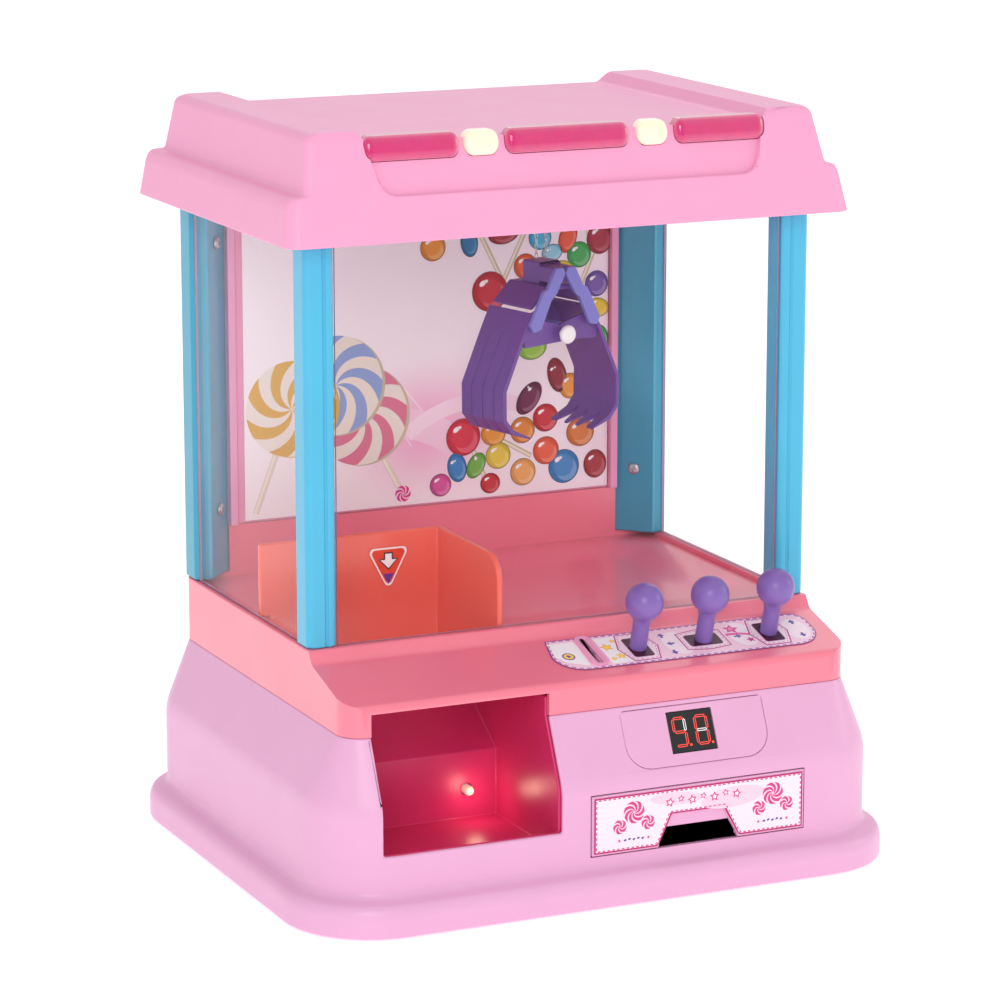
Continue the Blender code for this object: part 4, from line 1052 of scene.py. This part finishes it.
def make_tray():
    """Play floor: flat at its rim, then a smooth step down to a shallow dish, sampled on one grid."""
    x1, y0, y1 = WELL_X - GAP, WELL_FRONT + GAP, WELL_BACK - GAP
    rim, dish = span("play_tray")[1][2], 114.5
    u, v = np.linspace(-x1, x1, 121)[None, :], np.linspace(y0, y1, 81)[:, None]

    def ease(distance, reach):
        part = np.clip((distance - 3.0) / reach, 0, 1)
        return part * part * (3 - 2 * part)

    depth = ease(x1 - np.abs(u), 30.0) * ease(v - y0, 40.0) * ease(y1 - v, 28.0)
    upper = np.stack([u + 0 * v, v + 0 * u, rim - (rim - dish) * depth], axis=-1)
    lower = upper - [0, 0, WALL]
    rows, columns = upper.shape[:2]
    index = np.arange(rows * columns).reshape(rows, columns)
    edge = np.concatenate([index[0, :-1], index[:-1, -1], index[-1, :0:-1], index[:0:-1, 0]])
    after = np.roll(edge, -1)
    faces = strip_faces(rows, columns, False, False)
    faces += (np.array(faces)[:, ::-1] + rows * columns).tolist()
    faces += np.column_stack([edge, edge + rows * columns, after + rows * columns, after]).tolist()
    tray = tidy_mesh(new_piece("play_tray_finished", np.concatenate([upper, lower]).reshape(-1, 3), faces))
    carve(tray, box("cut_chute_corner", (-121.5, -80, 90), (-29.2, 16.3, 140)))
    dress(settle(tray), "play_tray", "coral")


def make_chute():
    """Prize chute from the CAD shape, with a triangular sign: three nested triangles with round corners,
    and a dark-edged arrow pointing down."""
    soften("prize_chute", "chute", 1.1, 3)
    low, high = span("chute_label")
    half, tall = (high[0] - low[0]) / 2, high[2] - low[2]
    middle, top = (low[0] + high[0]) / 2, high[2]

    def triangle(inset, round_r):
        """Triangle, point down, whose sides are moved in by inset."""
        h, t, b = half - inset * math.sqrt(3) * 0.98, top - inset, top - tall + 2 * inset
        reach = round_r * math.sqrt(3)
        return np.concatenate([arc(middle - h + reach, t - round_r, round_r, 210, 90, 5),
                               arc(middle + h - reach, t - round_r, round_r, 90, -30, 5),
                               arc(middle, b + 2 * round_r, round_r, -30, -150, 5)])[::-1]

    sheet = Print()
    sheet.lay(0, "#E8432E", triangle(0.0, 2.5))
    sheet.lay(1, "#FFF7F4", triangle(0.35, 2.3))
    sheet.lay(2, "#EE4326", triangle(1.25, 1.9))
    arrow = np.array([(0, -3.6), (4.2, 0.6), (1.7, 0.6), (1.7, 3.6), (-1.7, 3.6), (-1.7, 0.6), (-4.2, 0.6)])
    spot = np.array([middle, top - 7.0])
    sheet.lay(3, "#231A20", grown(arrow, 0.7) + spot)
    sheet.lay(4, "#FFFFFF", arrow + spot)
    sheet.lay(3, "#6B2E9A", [(middle - 2.9, top - 13.4), (middle, top - 18.6), (middle + 2.9, top - 13.4)])
    piece = sheet.make("chute_label_finished", front_frame(high[1]), step=0.06)
    dress(piece, "chute_label", "label")


# ---- pieces: cage ----

def make_cage():
    """Posts with their screws, the three windows, the back frame and the refill door with its picture."""
    for side, sign in (("left", -1), ("right", 1)):
        node = f"front_{side}_post"
        low, high = span(node)
        dress(settle(skin(f"{node}_finished", post_rows(low, high, sign)), 40), node, "cyan")
        soften(f"rear_{side}_post", "teal", 0.6, 3)
        for spot in ("low", "high"):
            make_screw(f"post_screw_{side}_{spot}")
    for node in ("front_window", "left_window", "right_window"):
        make_pane(node)
    soften("back_frame", "pink_roof", 0.3)
    soften("rear_door", "pink_roof", 0.3)
    back_print()


def post_rows(low, high, sign):
    """Square post with round corners and one soft groove down its front face, eased at both ends."""
    outer = high[0] if sign > 0 else low[0]
    inner = low[0] if sign > 0 else high[0]
    left, right = min(outer, inner), max(outer, inner)
    front, back, radius = low[1], high[1], 3.6
    groove = outer - sign * 9.5
    dip = np.array([(-1.3, 0.0), (-0.9, 0.12), (-0.55, 0.7), (0.0, 0.9), (0.55, 0.7), (0.9, 0.12),
                    (1.3, 0.0)])
    plan = np.concatenate([arc(left + radius, front + radius, radius, 180, 270, 7),
                           dip + [groove, front], arc(right - radius, front + radius, radius, 270, 360, 7),
                           arc(right - 1.5, back - 1.5, 1.5, 0, 90, 4),
                           arc(left + 1.5, back - 1.5, 1.5, 90, 180, 4)])
    middle = np.array([(left + right) / 2, (front + back) / 2])
    levels = [(low[2], 0.94), (low[2] + 0.6, 1.0), (high[2] - 0.6, 1.0), (high[2], 0.94)]
    return np.stack([np.column_stack([middle + (plan - middle) * s, np.full(len(plan), z)])
                     for z, s in levels])


def make_screw(node):
    """Pan-head screw with a cross recess, on the axis of its CAD node."""
    points = np.array([v.co for v in frame["nodes"][node].data.vertices]) / MM
    middle = points.mean(axis=0)
    axis = np.linalg.svd(points - middle, full_matrices=False)[2][0]
    axis *= -np.sign(axis[1])
    reach = (points - middle) @ axis
    away = np.linalg.norm((points - middle) - np.outer(reach, axis), axis=1)
    top, foot, head = reach.max(), reach.min(), away.max()
    crown = [(0, top)] + [(head * math.sin(t) * 0.92, top - 0.75 * (1 - math.cos(t)))
                          for t in np.linspace(0.25, 1.35, 7)]
    profile = np.array(crown + [(head, top - 1.1), (head, top - 1.4), (head * 0.42, top - 1.4),
                                (head * 0.42, foot), (0, foot)])[::-1]
    place = Matrix.Translation(Vector(middle)) @ Vector(axis).to_track_quat("Z", "Y").to_matrix().to_4x4()
    screw = turned(f"{node}_finished", profile, place=place, segments=32)
    for turn in (45, 135):
        spin = place @ Matrix.Rotation(math.radians(turn), 4, "Z")
        carve(screw, box("cut_cross", (-head * 0.6, -0.35, top - 0.9), (head * 0.6, 0.35, top + 1),
                         place=spin))
    dress(settle(screw), node, "steel")


def make_pane(node):
    """Clear sheet: polished faces, and sawn edges given an opaque darker mauve as painted shade."""
    low, high = span(node)
    thin = int(np.argmin(high - low))
    pane = box(f"{node}_finished", low, high)
    pane.data.materials.append(FINISH["clear"])
    pane.data.materials.append(FINISH["pane_edge_painted_shade"])
    normals = np.zeros(len(pane.data.polygons) * 3)
    pane.data.polygons.foreach_get("normal", normals)
    # Faces along the sheet's edges take the painted-shade mauve.
    edge = (np.abs(normals.reshape(-1, 3)[:, thin]) < 0.5).astype(np.int32)
    pane.data.polygons.foreach_set("material_index", edge)
    bevel = pane.modifiers.new("polished_edges", "BEVEL")
    bevel.width, bevel.segments, bevel.limit_method = 0.3 * MM, 2, "ANGLE"
    pane.data.shade_flat()
    dress(pane, node, "clear")


def sweet(sheet, x, z, rx, rz, turn, code):
    """A glossy printed sweet: dark rim, body, paler belly and two white glints."""
    rgb = np.array([int(code[i:i + 2], 16) for i in (1, 3, 5)], float)

    def tone(amount):
        mixed = rgb * amount if amount <= 1 else rgb + (255 - rgb) * (amount - 1)
        return "#%02X%02X%02X" % tuple(int(round(c)) for c in mixed)

    t = math.radians(turn)
    spin = np.array([[math.cos(t), math.sin(t)], [-math.sin(t), math.cos(t)]])
    small = min(rx, rz)
    sheet.lay(4, tone(0.5), ellipse(x, z, rx, rz, turn))
    sheet.lay(5, tone(0.92), ellipse(x, z, rx - 0.35, rz - 0.35, turn))
    belly = np.array([0.16, -0.18]) * small
    sheet.lay(6, tone(1.28), ellipse(x + belly[0], z + belly[1], rx * 0.68, rz * 0.68, turn))
    sheet.lay(7, tone(1.08), ellipse(x - belly[0] * 0.3, z - belly[1] * 0.4, rx * 0.66, rz * 0.66, turn))
    glint = np.array([-0.42 * rx, 0.42 * rz]) @ spin if rx != rz else np.array([-0.42 * rx, 0.42 * rz])
    spot = (x + glint[0] * 0.25 - small * 0.1, z + glint[1] * 1.25)
    sheet.lay(8, "#FFFFFF", ellipse(x + glint[0], z + glint[1], small * 0.2, small * 0.13, 40, 14),
              ellipse(*spot, small * 0.09, small * 0.09, 0, 10))


def lollipop(sheet, x, z, radius, ink, pale, edge, twist, layer, stick):
    """A flat swirl lollipop: stick, thick edge, pale disc and seven curved arms."""
    sheet.lay(layer, "#E9E2CC", bar(x, z, *stick, 3.4))
    sheet.lay(layer + 0.2, "#F8F4E6", bar(x - 0.5, z, stick[0] - 0.5, stick[1], 1.3))
    sheet.lay(layer + 0.3, edge, ellipse(x + 1.6, z - 0.5, radius, radius, 0, 56))
    sheet.lay(layer + 0.5, pale, ellipse(x, z, radius, radius, 0, 56))
    sheet.lay(layer + 0.7, ink, *[swirl_arm(x, z, radius, i, 7, twist, 0.5, 16, 0.02) for i in range(7)])


SWEETS = (
    # x, z, half width, half height, turn, colour
    (4.2, 278.7, 7.0, 7.0, 0, "#E8922A"), (24.4, 280.0, 4.8, 7.6, 8, "#1F6FA3"),
    (43.6, 283.5, 8.8, 5.6, 8, "#A31E2E"), (64.1, 280.0, 6.4, 6.4, 0, "#3FB4D8"),
    (79.9, 279.0, 5.0, 8.2, -18, "#E8502C"), (98.0, 277.4, 7.4, 8.2, 0, "#A51D33"),
    (86.3, 269.8, 6.8, 6.8, 0, "#3BAE4E"), (55.9, 265.7, 6.6, 6.6, 0, "#E85A2C"),
    (71.0, 271.8, 6.0, 4.4, 10, "#8CD3E6"), (76.7, 260.8, 7.2, 6.6, 0, "#E6D62C"),
    (35.9, 254.0, 10.0, 10.4, 0, "#C2182C"), (96.4, 254.0, 6.6, 6.8, 0, "#6E4FA6"),
    (97.2, 241.5, 6.4, 5.0, -10, "#EBCB2A"), (59.9, 223.0, 8.2, 6.2, 8, "#97CF3C"),
    (74.0, 207.7, 5.4, 9.4, 14, "#8E1B2C"), (58.0, 196.8, 5.8, 9.6, -36, "#6A1740"),
    (81.4, 201.5, 6.2, 6.8, 0, "#EE9A34"), (67.4, 185.8, 7.2, 7.4, 0, "#C9242C"),
    (54.3, 180.4, 7.0, 7.0, 0, "#E0862A"), (20.8, 179.5, 9.6, 9.8, 0, "#D8203A"),
    (37.8, 179.9, 7.0, 6.4, 0, "#EE9A2A"), (40.5, 168.1, 7.0, 7.0, 0, "#EAD43C"),
    (67.7, 168.5, 7.4, 7.4, 0, "#EA5A38"), (78.0, 159.2, 8.8, 9.0, 0, "#3C86C8"),
    (54.6, 158.3, 7.2, 7.2, 0, "#F2AE5C"), (28.0, 164.0, 4.8, 7.2, -30, "#6CB63A"),
    (17.3, 163.9, 5.4, 7.8, 10, "#2E7FC2"), (87.4, 176.6, 8.0, 7.6, 0, "#DE7A34"),
    (96.0, 159.0, 6.6, 7.6, 0, "#A8242E"), (98.0, 190.0, 5.0, 6.4, 0, "#7A5AB0"),
    (99.0, 226.0, 4.2, 6.4, 14, "#3BAE4E"), (90.0, 238.0, 5.2, 5.2, 0, "#E8502C"),
    (14.0, 298.0, 6.6, 6.6, 0, "#EBCB2A"), (38.0, 299.0, 7.0, 7.0, 0, "#3BAE4E"),
    (60.0, 297.0, 6.4, 6.4, 0, "#D8203A"), (83.0, 296.5, 7.4, 7.4, 0, "#EE9A2A"),
    (8.0, 155.5, 6.0, 6.0, 0, "#D64A9A"), (36.0, 154.0, 5.6, 5.4, 0, "#C9242C"),
)


def back_print():
    """Picture card on the inside of the refill door: a soft wash, three swirl lollipops and a fall of
    round sweets, beans and sticks."""
    low, high = span("rear_print")
    card = box("rear_print_finished", low, high)
    dress(round_edges(card, 0.2, 2), "rear_print", "wash")
    sheet = Print()
    sheet.lay(0, "#FBF8FA", *[bar(-95 + 9 * k, 290 - 5 * k, -40 + 16 * k, 165 + 6 * k, 0.5)
                              for k in range(4)])
    ribbon = np.concatenate([arc(-20, 136, 62, 40, 110, 16), arc(-20, 132, 50, 110, 40, 16)])
    sheet.lay(0.2, "#F6D3E4", ribbon)
    ribbon = np.concatenate([arc(30, 136, 66, 60, 130, 16), arc(30, 134, 60, 130, 60, 16)])
    sheet.lay(0.3, "#FAE3EE", ribbon)
    lollipop(sheet, -36.0, 195.5, 25.5, "#DE7C98", "#EFEBDD", "#C9C2A6", -70, 1, (-12.0, 151.0))
    lollipop(sheet, -49.5, 212.0, 25.5, "#92ACDC", "#F0EBDB", "#C9C2A6", -75, 2, (-60.0, 150.0))
    lollipop(sheet, -73.5, 202.0, 24.5, "#E0B02E", "#F3EFE2", "#D9B95C", -70, 3, (-93.5, 150.0))
    for x0, z0, x1, z1 in ((30.5, 284, 44.0, 257.0), (55.8, 284, 41.0, 254.0), (95.0, 272, 84.0, 246.0),
                           (42.5, 176, 59.1, 166.5), (24.0, 178, 36.0, 150.0), (89.0, 300, 93.0, 272.0)):
        sheet.lay(3, "#CFC7A4", bar(x0, z0, x1, z1, 2.6))
        sheet.lay(3.3, "#F1ECD8", bar(x0 - 0.3, z0, x1 - 0.3, z1, 1.2))
    for each in SWEETS:
        sweet(sheet, *each)
    pinwheel(sheet, 4, -13.0, 153.0, 4.4, "#D9368E", "#FBE3EE", 6)
    art = sheet.make("rear_print_art", front_frame(low[1]), step=0.03)
    dress(art, "rear_print", "label", replaces=[])


# ---- pieces: roof and lights ----

def make_roof():
    """Roof: rounded rectangles stacked in z behind a leaning front. The channel between the two ridges,
    the recess of the light bars and the inside are cut, the edges rounded, and the lamps' seats cut last."""
    steps = bpy.context.scene.crane_shape.corner_steps // 2
    outer = [(ROOF_LOW, ROOF_X, ROOF_BACK, 8.0), (331.0, 142.5, 123.0, 7.5), (334.6, 140.6, 121.2, 6.6),
             (335.6, 134.6, 115.0, 4.2), (359.2, 130.6, 110.6, 4.0), (361.2, 129.4, 109.6, 4.0),
             (ROOF_HIGH, 126.4, 107.0, 3.4)]
    outer = [(z, x, face_front(z) + max(z - CHANNEL_Z, 0.0) * 0.35, back, r) for z, x, back, r in outer]
    levels = eased(outer, [2.2, 1.6, 1.8, 0.9, 1.6], 5)
    levels[:, 2] = np.maximum(levels[:, 2], face_front(levels[:, 0]))
    shell = skin("roof_shell_finished", rounded_plans(levels, steps))
    channel = eased([(-112.0, 369.0), (-108.0, 364.0), (-101.0, CHANNEL_Z), (101.0, CHANNEL_Z),
                     (108.0, 364.0), (112.0, 369.0)], [1.0, 2.2, 2.2, 1.0], 5)
    carve(shell, prism("cut_channel", channel, -90, 130, "Y"))
    radius = 9.0
    lower = RECESS_Z + 0.15     # clear of the ring of points at the skirt's upper edge
    rim = np.concatenate([[(-105.4, 368.0)], arc(-97.6 + radius, lower + radius, radius, 190, 270, 8),
                          arc(97.6 - radius, lower + radius, radius, 270, 350, 8), [(105.4, 368.0)]])
    deep = face_front(rim[:, 1]) + RECESS_DEEP
    recess = np.stack([np.column_stack([rim[:, 0], np.full(len(rim), -96.0), rim[:, 1]]),
                       np.column_stack([rim[:, 0], deep, rim[:, 1]])])
    carve(shell, skin("cut_recess", recess))
    inner = [(305.0, ROOF_X - WALL, ROOF_FRONT + WALL, ROOF_BACK - WALL, 5.5),
             (329.5, 140.0, face_front(329.5) + WALL, 120.5, 5.0),
             (333.0, 131.8, face_front(333) + 5.6, 112.5, 3.0),
             (351.5, 128.6, face_front(351.5) + 5.6, 108.2, 2.5),
             (354.3, 126.0, face_front(354.3) + 8.0, 106.0, 2.0)]
    carve(shell, skin("cut_inside", rounded_plans(inner, steps)))
    merge_flat(shell)
    quiet = [((-138, -70, 314), (138, 119, 355.5)), ((96, -112, 351), (119, -50, 372)),
             ((-119, -112, 351), (-96, -50, 372))]
    round_edges(shell, bpy.context.scene.crane_shape.edge / MM * 0.6, 4, 30, quiet)
    bake(shell)
    for node in LIGHTS:
        carve(shell, light_block(f"cut_{node}", node, 0.35))
    tidy_mesh(shell, 0.04)
    dress(settle(shell, 33), "roof_shell", "pink_roof")
    soften("ceiling_frame", "pink_roof", 0.5)


LIGHTS = ("lens_left", "lens_middle", "lens_right", "lamp_left", "lamp_right")


def light_block(name, node, grow):
    """Light bar: a block with round ends that leans back with the roof's front."""
    low, high = span(node)
    lean = ROOF_LEAN * 0.5
    drop = (high[2] - low[2]) * lean / 2
    radii = (4.2, 3.0, 4.6) if node.startswith("lens") else (5.0, 3.0, 5.4)
    low, high = low - grow + [0, drop, 0], high + grow - [0, drop, 0]
    return rounded_block(name, low, high, radii, 8, lean)


def make_lights():
    """The three magenta bars and the two lamps between them."""
    for node in LIGHTS:
        finish = "magenta_lens" if node.startswith("lens") else "amber_lens"
        dress(settle(light_block(f"{node}_finished", node, 0.0), 60), node, finish)


# ---- pieces: joysticks and switch ----

def make_sticks():
    """Joysticks, turned about the panel's normal: a stem with a short waist under a full ball."""
    tilt = math.atan2(PANEL_BACK[1] - PANEL_FRONT[1], PANEL_BACK[0] - PANEL_FRONT[0])
    surface_z = PANEL_FRONT[1] + (STICK_Y - PANEL_FRONT[0]) * math.tan(tilt)
    pivot = (STICK_Y + STICK_PIVOT_DEEP * math.sin(tilt), surface_z - STICK_PIVOT_DEEP * math.cos(tilt))
    middle = STICK_PIVOT_DEEP + BALL_HIGH
    ball = np.radians(np.linspace(34, 180, 26))
    around = np.column_stack([BALL_R * np.sin(ball), middle - BALL_R * np.cos(ball)])
    neck_z = middle - BALL_R * math.cos(ball[0])
    stem = eased([(0.0, -5.0), (3.4, -5.0), (4.3, -3.6), (4.3, 8.0), (4.0, neck_z - 3.0), around[0]],
                 [0.8, 1.0, 3.0, 2.4], 6)
    profile = np.vstack([stem, around])
    for index, x in enumerate(STICK_X):
        place = Matrix.Translation((x, pivot[0], pivot[1])) @ Matrix.Rotation(tilt, 4, "X")
        node = f"joystick_{index + 1}"
        dress(settle(turned(f"{node}_finished", profile, place=place), 50), node, "lilac")


def make_switch():
    """Slide switch: the CAD slider with a ribbed thumb pad."""
    soften("power_switch", "black", 0.3)
    low, high = span("power_switch")
    ribs = [box(f"switch_rib_{i}", (x - 0.25, high[1] - 0.4, low[2] + 0.5),
                (x + 0.25, high[1] + 0.2, high[2] - 0.5))
            for i, x in enumerate(np.linspace(low[0] + 1.2, high[0] - 1.2, 4))]
    dress(join("power_switch_ribs", ribs), "power_switch", "black", replaces=[])


# ---- pieces: gantry, chains and claw ----

def make_gantry():
    """Bridge, trolley and drum from the CAD shape; the motor is a turned can with a boss at one end."""
    soften("gantry_bridge", "grey_plastic", 0.6)
    soften("trolley", "white", 0.4)
    soften("winch_drum", "white", 0.25, 2, 40)
    low, high = span("hoist_motor")
    middle, radius = (low + high) / 2, (high[1] - low[1]) / 2
    half = (high[0] - low[0]) / 2
    profile = eased([(0, -half), (radius * 0.45, -half), (radius * 0.5, -half + 0.9),
                     (radius - 0.6, -half + 0.9), (radius, -half + 1.6), (radius, half - 3.2),
                     (radius - 0.35, half - 3.0), (radius - 0.35, half - 0.6), (radius - 1, half),
                     (0, half)], [0.2] * 8, 2)
    place = Matrix.Translation(middle)
    dress(settle(turned("hoist_motor_finished", profile, "X", 40, place)), "hoist_motor", "steel")


def make_chains():
    """Oval-link chains: each link is a ring of wire stretched along z, and every second is turned by a
    quarter; all the links of one chain are one array."""
    pitch = bpy.context.scene.crane_shape.chain_pitch / MM
    for node in ("chain_left", "chain_right"):
        low, high = span(node)
        middle = (low + high) / 2
        wire, wide, tall = 0.24, 0.9 - 0.24, pitch / 2 + 0.24
        spans, sides = 12, 5
        count = int((high[2] - low[2] - 0.6) / pitch)
        along = np.linspace(0, 2 * np.pi, spans, endpoint=False)[:, None]
        round_wire = np.linspace(0, 2 * np.pi, sides, endpoint=False)[None, :]
        straight = np.sign(np.sin(along)) * (tall - wide)
        reach = wide + wire * np.cos(round_wire)
        link = np.stack([reach * np.cos(along), wire * np.sin(round_wire) + 0 * along,
                         reach * np.sin(along) + straight], axis=-1)
        heights = low[2] + 1.6 + pitch * np.arange(count)
        turn = np.where(np.arange(count) % 2 == 0, 0.0, np.pi / 2)[:, None, None]
        x = link[..., 0] * np.cos(turn) - link[..., 1] * np.sin(turn)
        y = link[..., 0] * np.sin(turn) + link[..., 1] * np.cos(turn)
        z = link[None, ..., 2] + heights[:, None, None]
        points = np.stack([middle[0] + x, middle[1] + y, z], axis=-1).reshape(-1, 3)
        one = np.array(strip_faces(spans, sides, True, True))
        faces = (one[None] + np.arange(count)[:, None, None] * spans * sides).reshape(-1, 4).tolist()
        chain = tidy_mesh(new_piece(f"{node}_finished", points, faces), 0.0001)
        chain.data.materials.append(FINISH["steel"])
        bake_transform(chain)
        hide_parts(node)


def make_claw():
    """Claw: head and hub from the CAD shape, cranked links cut wider than there, jaws with three grooves
    down their outer face, and a turned pin with a dished cap."""
    soften("claw_head", "violet", 0.7, 3)
    soften("claw_hub", "light_violet", 0.5)
    crank = np.array([(2.0, 279.5), (1.2, 277.5), (7.2, 267.4), (9.5, 266.0), (16.0, 252.0), (19.5, 251.2),
                      (21.0, 254.0), (13.0, 269.0), (10.5, 270.0), (5.4, 279.5)])
    for name, sign in (("link_left", -1), ("link_right", 1)):
        link = prism(f"{name}_finished", grown(crank, 1.0) * [sign, 1], -19.4, -16.9, "Y",
                     place=claw_frame())
        dress(round_edges(link, 0.5), name, "light_violet")
    outer = np.array([(24.6, 249.1), (37.0, 222.5), (36.8, 207.2), (32.1, 201.4)])
    run = np.gradient(outer, axis=0)
    normal = np.column_stack([-run[:, 1], run[:, 0]]) / np.linalg.norm(run, axis=1, keepdims=True)
    strip = np.vstack([outer - normal * 0.9, (outer + normal * 0.9)[::-1]])
    for name, sign in (("scoop_left", -1), ("scoop_right", 1)):
        scoop = copy_of(name)
        for w in (-8.5, 0.0, 8.5):
            groove = prism("groove", strip * [sign, 1], w - 0.45, w + 0.45, "Y", place=claw_frame())
            carve(scoop, groove)
        dress(round_edges(scoop, 0.35, 2, 30), name, "violet")
    cap = [(0, 19.0), (1.5, 19.0), (1.5, -19.6), (4.0, -19.7), (4.6, -20.2), (4.6, -21.2), (4.2, -21.9),
           (3.4, -22.3), (2.6, -22.35), (2.3, -22.0), (0, -22.0)]
    place = claw_frame() @ Matrix.Translation((0, 0, PIN_Z))
    dress(settle(turned("claw_pin_finished", cap, "Y", 40, place), 45), "claw_pin", "white")


def make_fittings():
    """Hidden pieces keep their CAD shape and take a material of their own."""
    for node, finish in (("circuit_board", "green_board"), ("coin_chute", "grey_plastic")):
        soften(node, finish, 0.25)


# ---- stage ----

def make_stage():
    """White floor, even white surround, four softboxes that face the middle of the cage, the prize bin's
    lamp and the camera."""
    look = bpy.context.scene.crane_stage
    scene = bpy.context.scene
    corners = [(-14000, -9000, 0), (14000, -9000, 0), (14000, 19000, 0), (-14000, 19000, 0)]
    floor = new_piece("studio_floor", corners, [(0, 1, 2, 3)])
    floor.data.materials.append(matt_floor("matt_white_laminate", tuple(look.floor)))
    world = bpy.data.worlds.new("studio_surround")
    world.use_nodes = True
    world.node_tree.nodes["Background"].inputs["Color"].default_value = (1.0, 1.0, 1.0, 1.0)
    world.node_tree.nodes["Background"].inputs["Strength"].default_value = look.sky
    scene.world = world
    centre = Vector((0.0, 0.0, 0.17))
    side_share, rear_share = 0.3, 0.4
    for name, power, size, spot in (("key_softbox", look.key_power, 0.9, (-1.05, -2.05, 1.1)),
                                    ("top_softbox", look.top_power, 1.6, (0.3, 0.2, 2.2)),
                                    ("side_softbox", look.key_power * side_share, 0.7, (2.2, -0.7, 0.8)),
                                    ("rear_softbox", look.key_power * rear_share, 1.5, (1.0, 1.6, 1.7))):
        light = bpy.data.lights.new(name, "AREA")
        light.energy, light.size = power, size
        holder = bpy.data.objects.new(name, light)
        scene.collection.objects.link(holder)
        holder.location = spot
        holder.rotation_euler = (centre - Vector(spot)).to_track_quat("-Z", "Y").to_euler()
    low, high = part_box("bin_led")
    glow = bpy.data.lights.new("bin_glow", "POINT")
    glow.energy, glow.color, glow.shadow_soft_size = 0.006, (1.0, 0.7, 0.5), 0.004
    holder = bpy.data.objects.new("bin_glow", glow)
    scene.collection.objects.link(holder)
    holder.location = ((low.x + high.x) / 2, low.y - 0.006, (low.z + high.z) / 2)
    back = Vector((-0.40888, -0.88623, 0.21775))     # unit vector from the subject towards the camera
    camera = bpy.data.cameras.new("camera")
    camera.lens, camera.sensor_width = look.lens_length, 36.0
    viewer = bpy.data.objects.new("camera", camera)
    scene.collection.objects.link(viewer)
    viewer.location = (-0.7998, -1.7228, 0.5926)
    viewer.rotation_euler = (-back).to_track_quat("-Z", "Y").to_euler()
    scene.camera = viewer
    scene.view_settings.view_transform = "Standard"


# ---- operators and panel ----

class CRANE_OT_materials(bpy.types.Operator):
    """Make every finish from the colour settings"""
    bl_idname = "crane.materials"
    bl_label = "Materials"

    def execute(self, context):
        FINISH.update(make_materials())
        return {"FINISHED"}


class CRANE_OT_base(bpy.types.Operator):
    """Build the base shell, its underside and the prize bin"""
    bl_idname = "crane.base"
    bl_label = "Base"

    def execute(self, context):
        make_base_shell()
        make_underside()
        make_bin()
        return {"FINISHED"}


class CRANE_OT_counter(bpy.types.Operator):
    """Build the counter bezel with its digits, and the token drawer"""
    bl_idname = "crane.counter"
    bl_label = "Counter and drawer"

    def execute(self, context):
        make_counter()
        make_drawer()
        return {"FINISHED"}


class CRANE_OT_deck(bpy.types.Operator):
    """Build the deck, its printed panel, the play tray and the chute"""
    bl_idname = "crane.deck"
    bl_label = "Deck"

    def execute(self, context):
        make_deck()
        make_panel_label()
        make_tray()
        make_chute()
        return {"FINISHED"}


class CRANE_OT_cage(bpy.types.Operator):
    """Build the posts, windows, back frame, refill door and its picture card"""
    bl_idname = "crane.cage"
    bl_label = "Cage"

    def execute(self, context):
        make_cage()
        return {"FINISHED"}


class CRANE_OT_roof(bpy.types.Operator):
    """Build the roof with its light bars and lamps"""
    bl_idname = "crane.roof"
    bl_label = "Roof"

    def execute(self, context):
        make_roof()
        make_lights()
        return {"FINISHED"}


class CRANE_OT_controls(bpy.types.Operator):
    """Build the joysticks and the power switch"""
    bl_idname = "crane.controls"
    bl_label = "Controls"

    def execute(self, context):
        make_sticks()
        make_switch()
        return {"FINISHED"}


class CRANE_OT_claw(bpy.types.Operator):
    """Build the gantry, the chains, the claw and the hidden fittings"""
    bl_idname = "crane.claw"
    bl_label = "Claw"

    def execute(self, context):
        make_gantry()
        make_chains()
        make_claw()
        make_fittings()
        return {"FINISHED"}


class CRANE_OT_stage(bpy.types.Operator):
    """Lay the floor and set up the lights and the camera"""
    bl_idname = "crane.stage"
    bl_label = "Stage"

    def execute(self, context):
        make_stage()
        return {"FINISHED"}


OPERATORS = (CRANE_OT_materials, CRANE_OT_base, CRANE_OT_counter, CRANE_OT_deck, CRANE_OT_cage,
             CRANE_OT_roof, CRANE_OT_controls, CRANE_OT_claw, CRANE_OT_stage)


class CRANE_PT_pieces(bpy.types.Panel):
    """Settings and the pieces of the crane"""
    bl_label = "Claw crane"
    bl_space_type = "VIEW_3D"
    bl_region_type = "UI"
    bl_category = "Claw crane"

    def draw(self, context):
        for group in (context.scene.crane_colours, context.scene.crane_shape, context.scene.crane_stage):
            column = self.layout.column()
            for name in group.__annotations__:
                column.prop(group, name)
        for operator in OPERATORS:
            self.layout.operator(operator.bl_idname)


CLASSES = (CraneColours, CraneShape, CraneStage) + OPERATORS + (CRANE_PT_pieces,)


def register():
    for each in CLASSES:
        bpy.utils.register_class(each)
    bpy.types.Scene.crane_colours = bpy.props.PointerProperty(type=CraneColours)
    bpy.types.Scene.crane_shape = bpy.props.PointerProperty(type=CraneShape)
    bpy.types.Scene.crane_stage = bpy.props.PointerProperty(type=CraneStage)


def unregister():
    del bpy.types.Scene.crane_stage
    del bpy.types.Scene.crane_shape
    del bpy.types.Scene.crane_colours
    for each in reversed(CLASSES):
        bpy.utils.unregister_class(each)


def main():
    register()
    bpy.ops.crane.materials()
    bpy.ops.crane.base()
    bpy.ops.crane.counter()
    bpy.ops.crane.deck()
    bpy.ops.crane.cage()
    bpy.ops.crane.roof()
    bpy.ops.crane.controls()
    bpy.ops.crane.claw()
    bpy.ops.crane.stage()


if __name__ == "__main__":
    main()
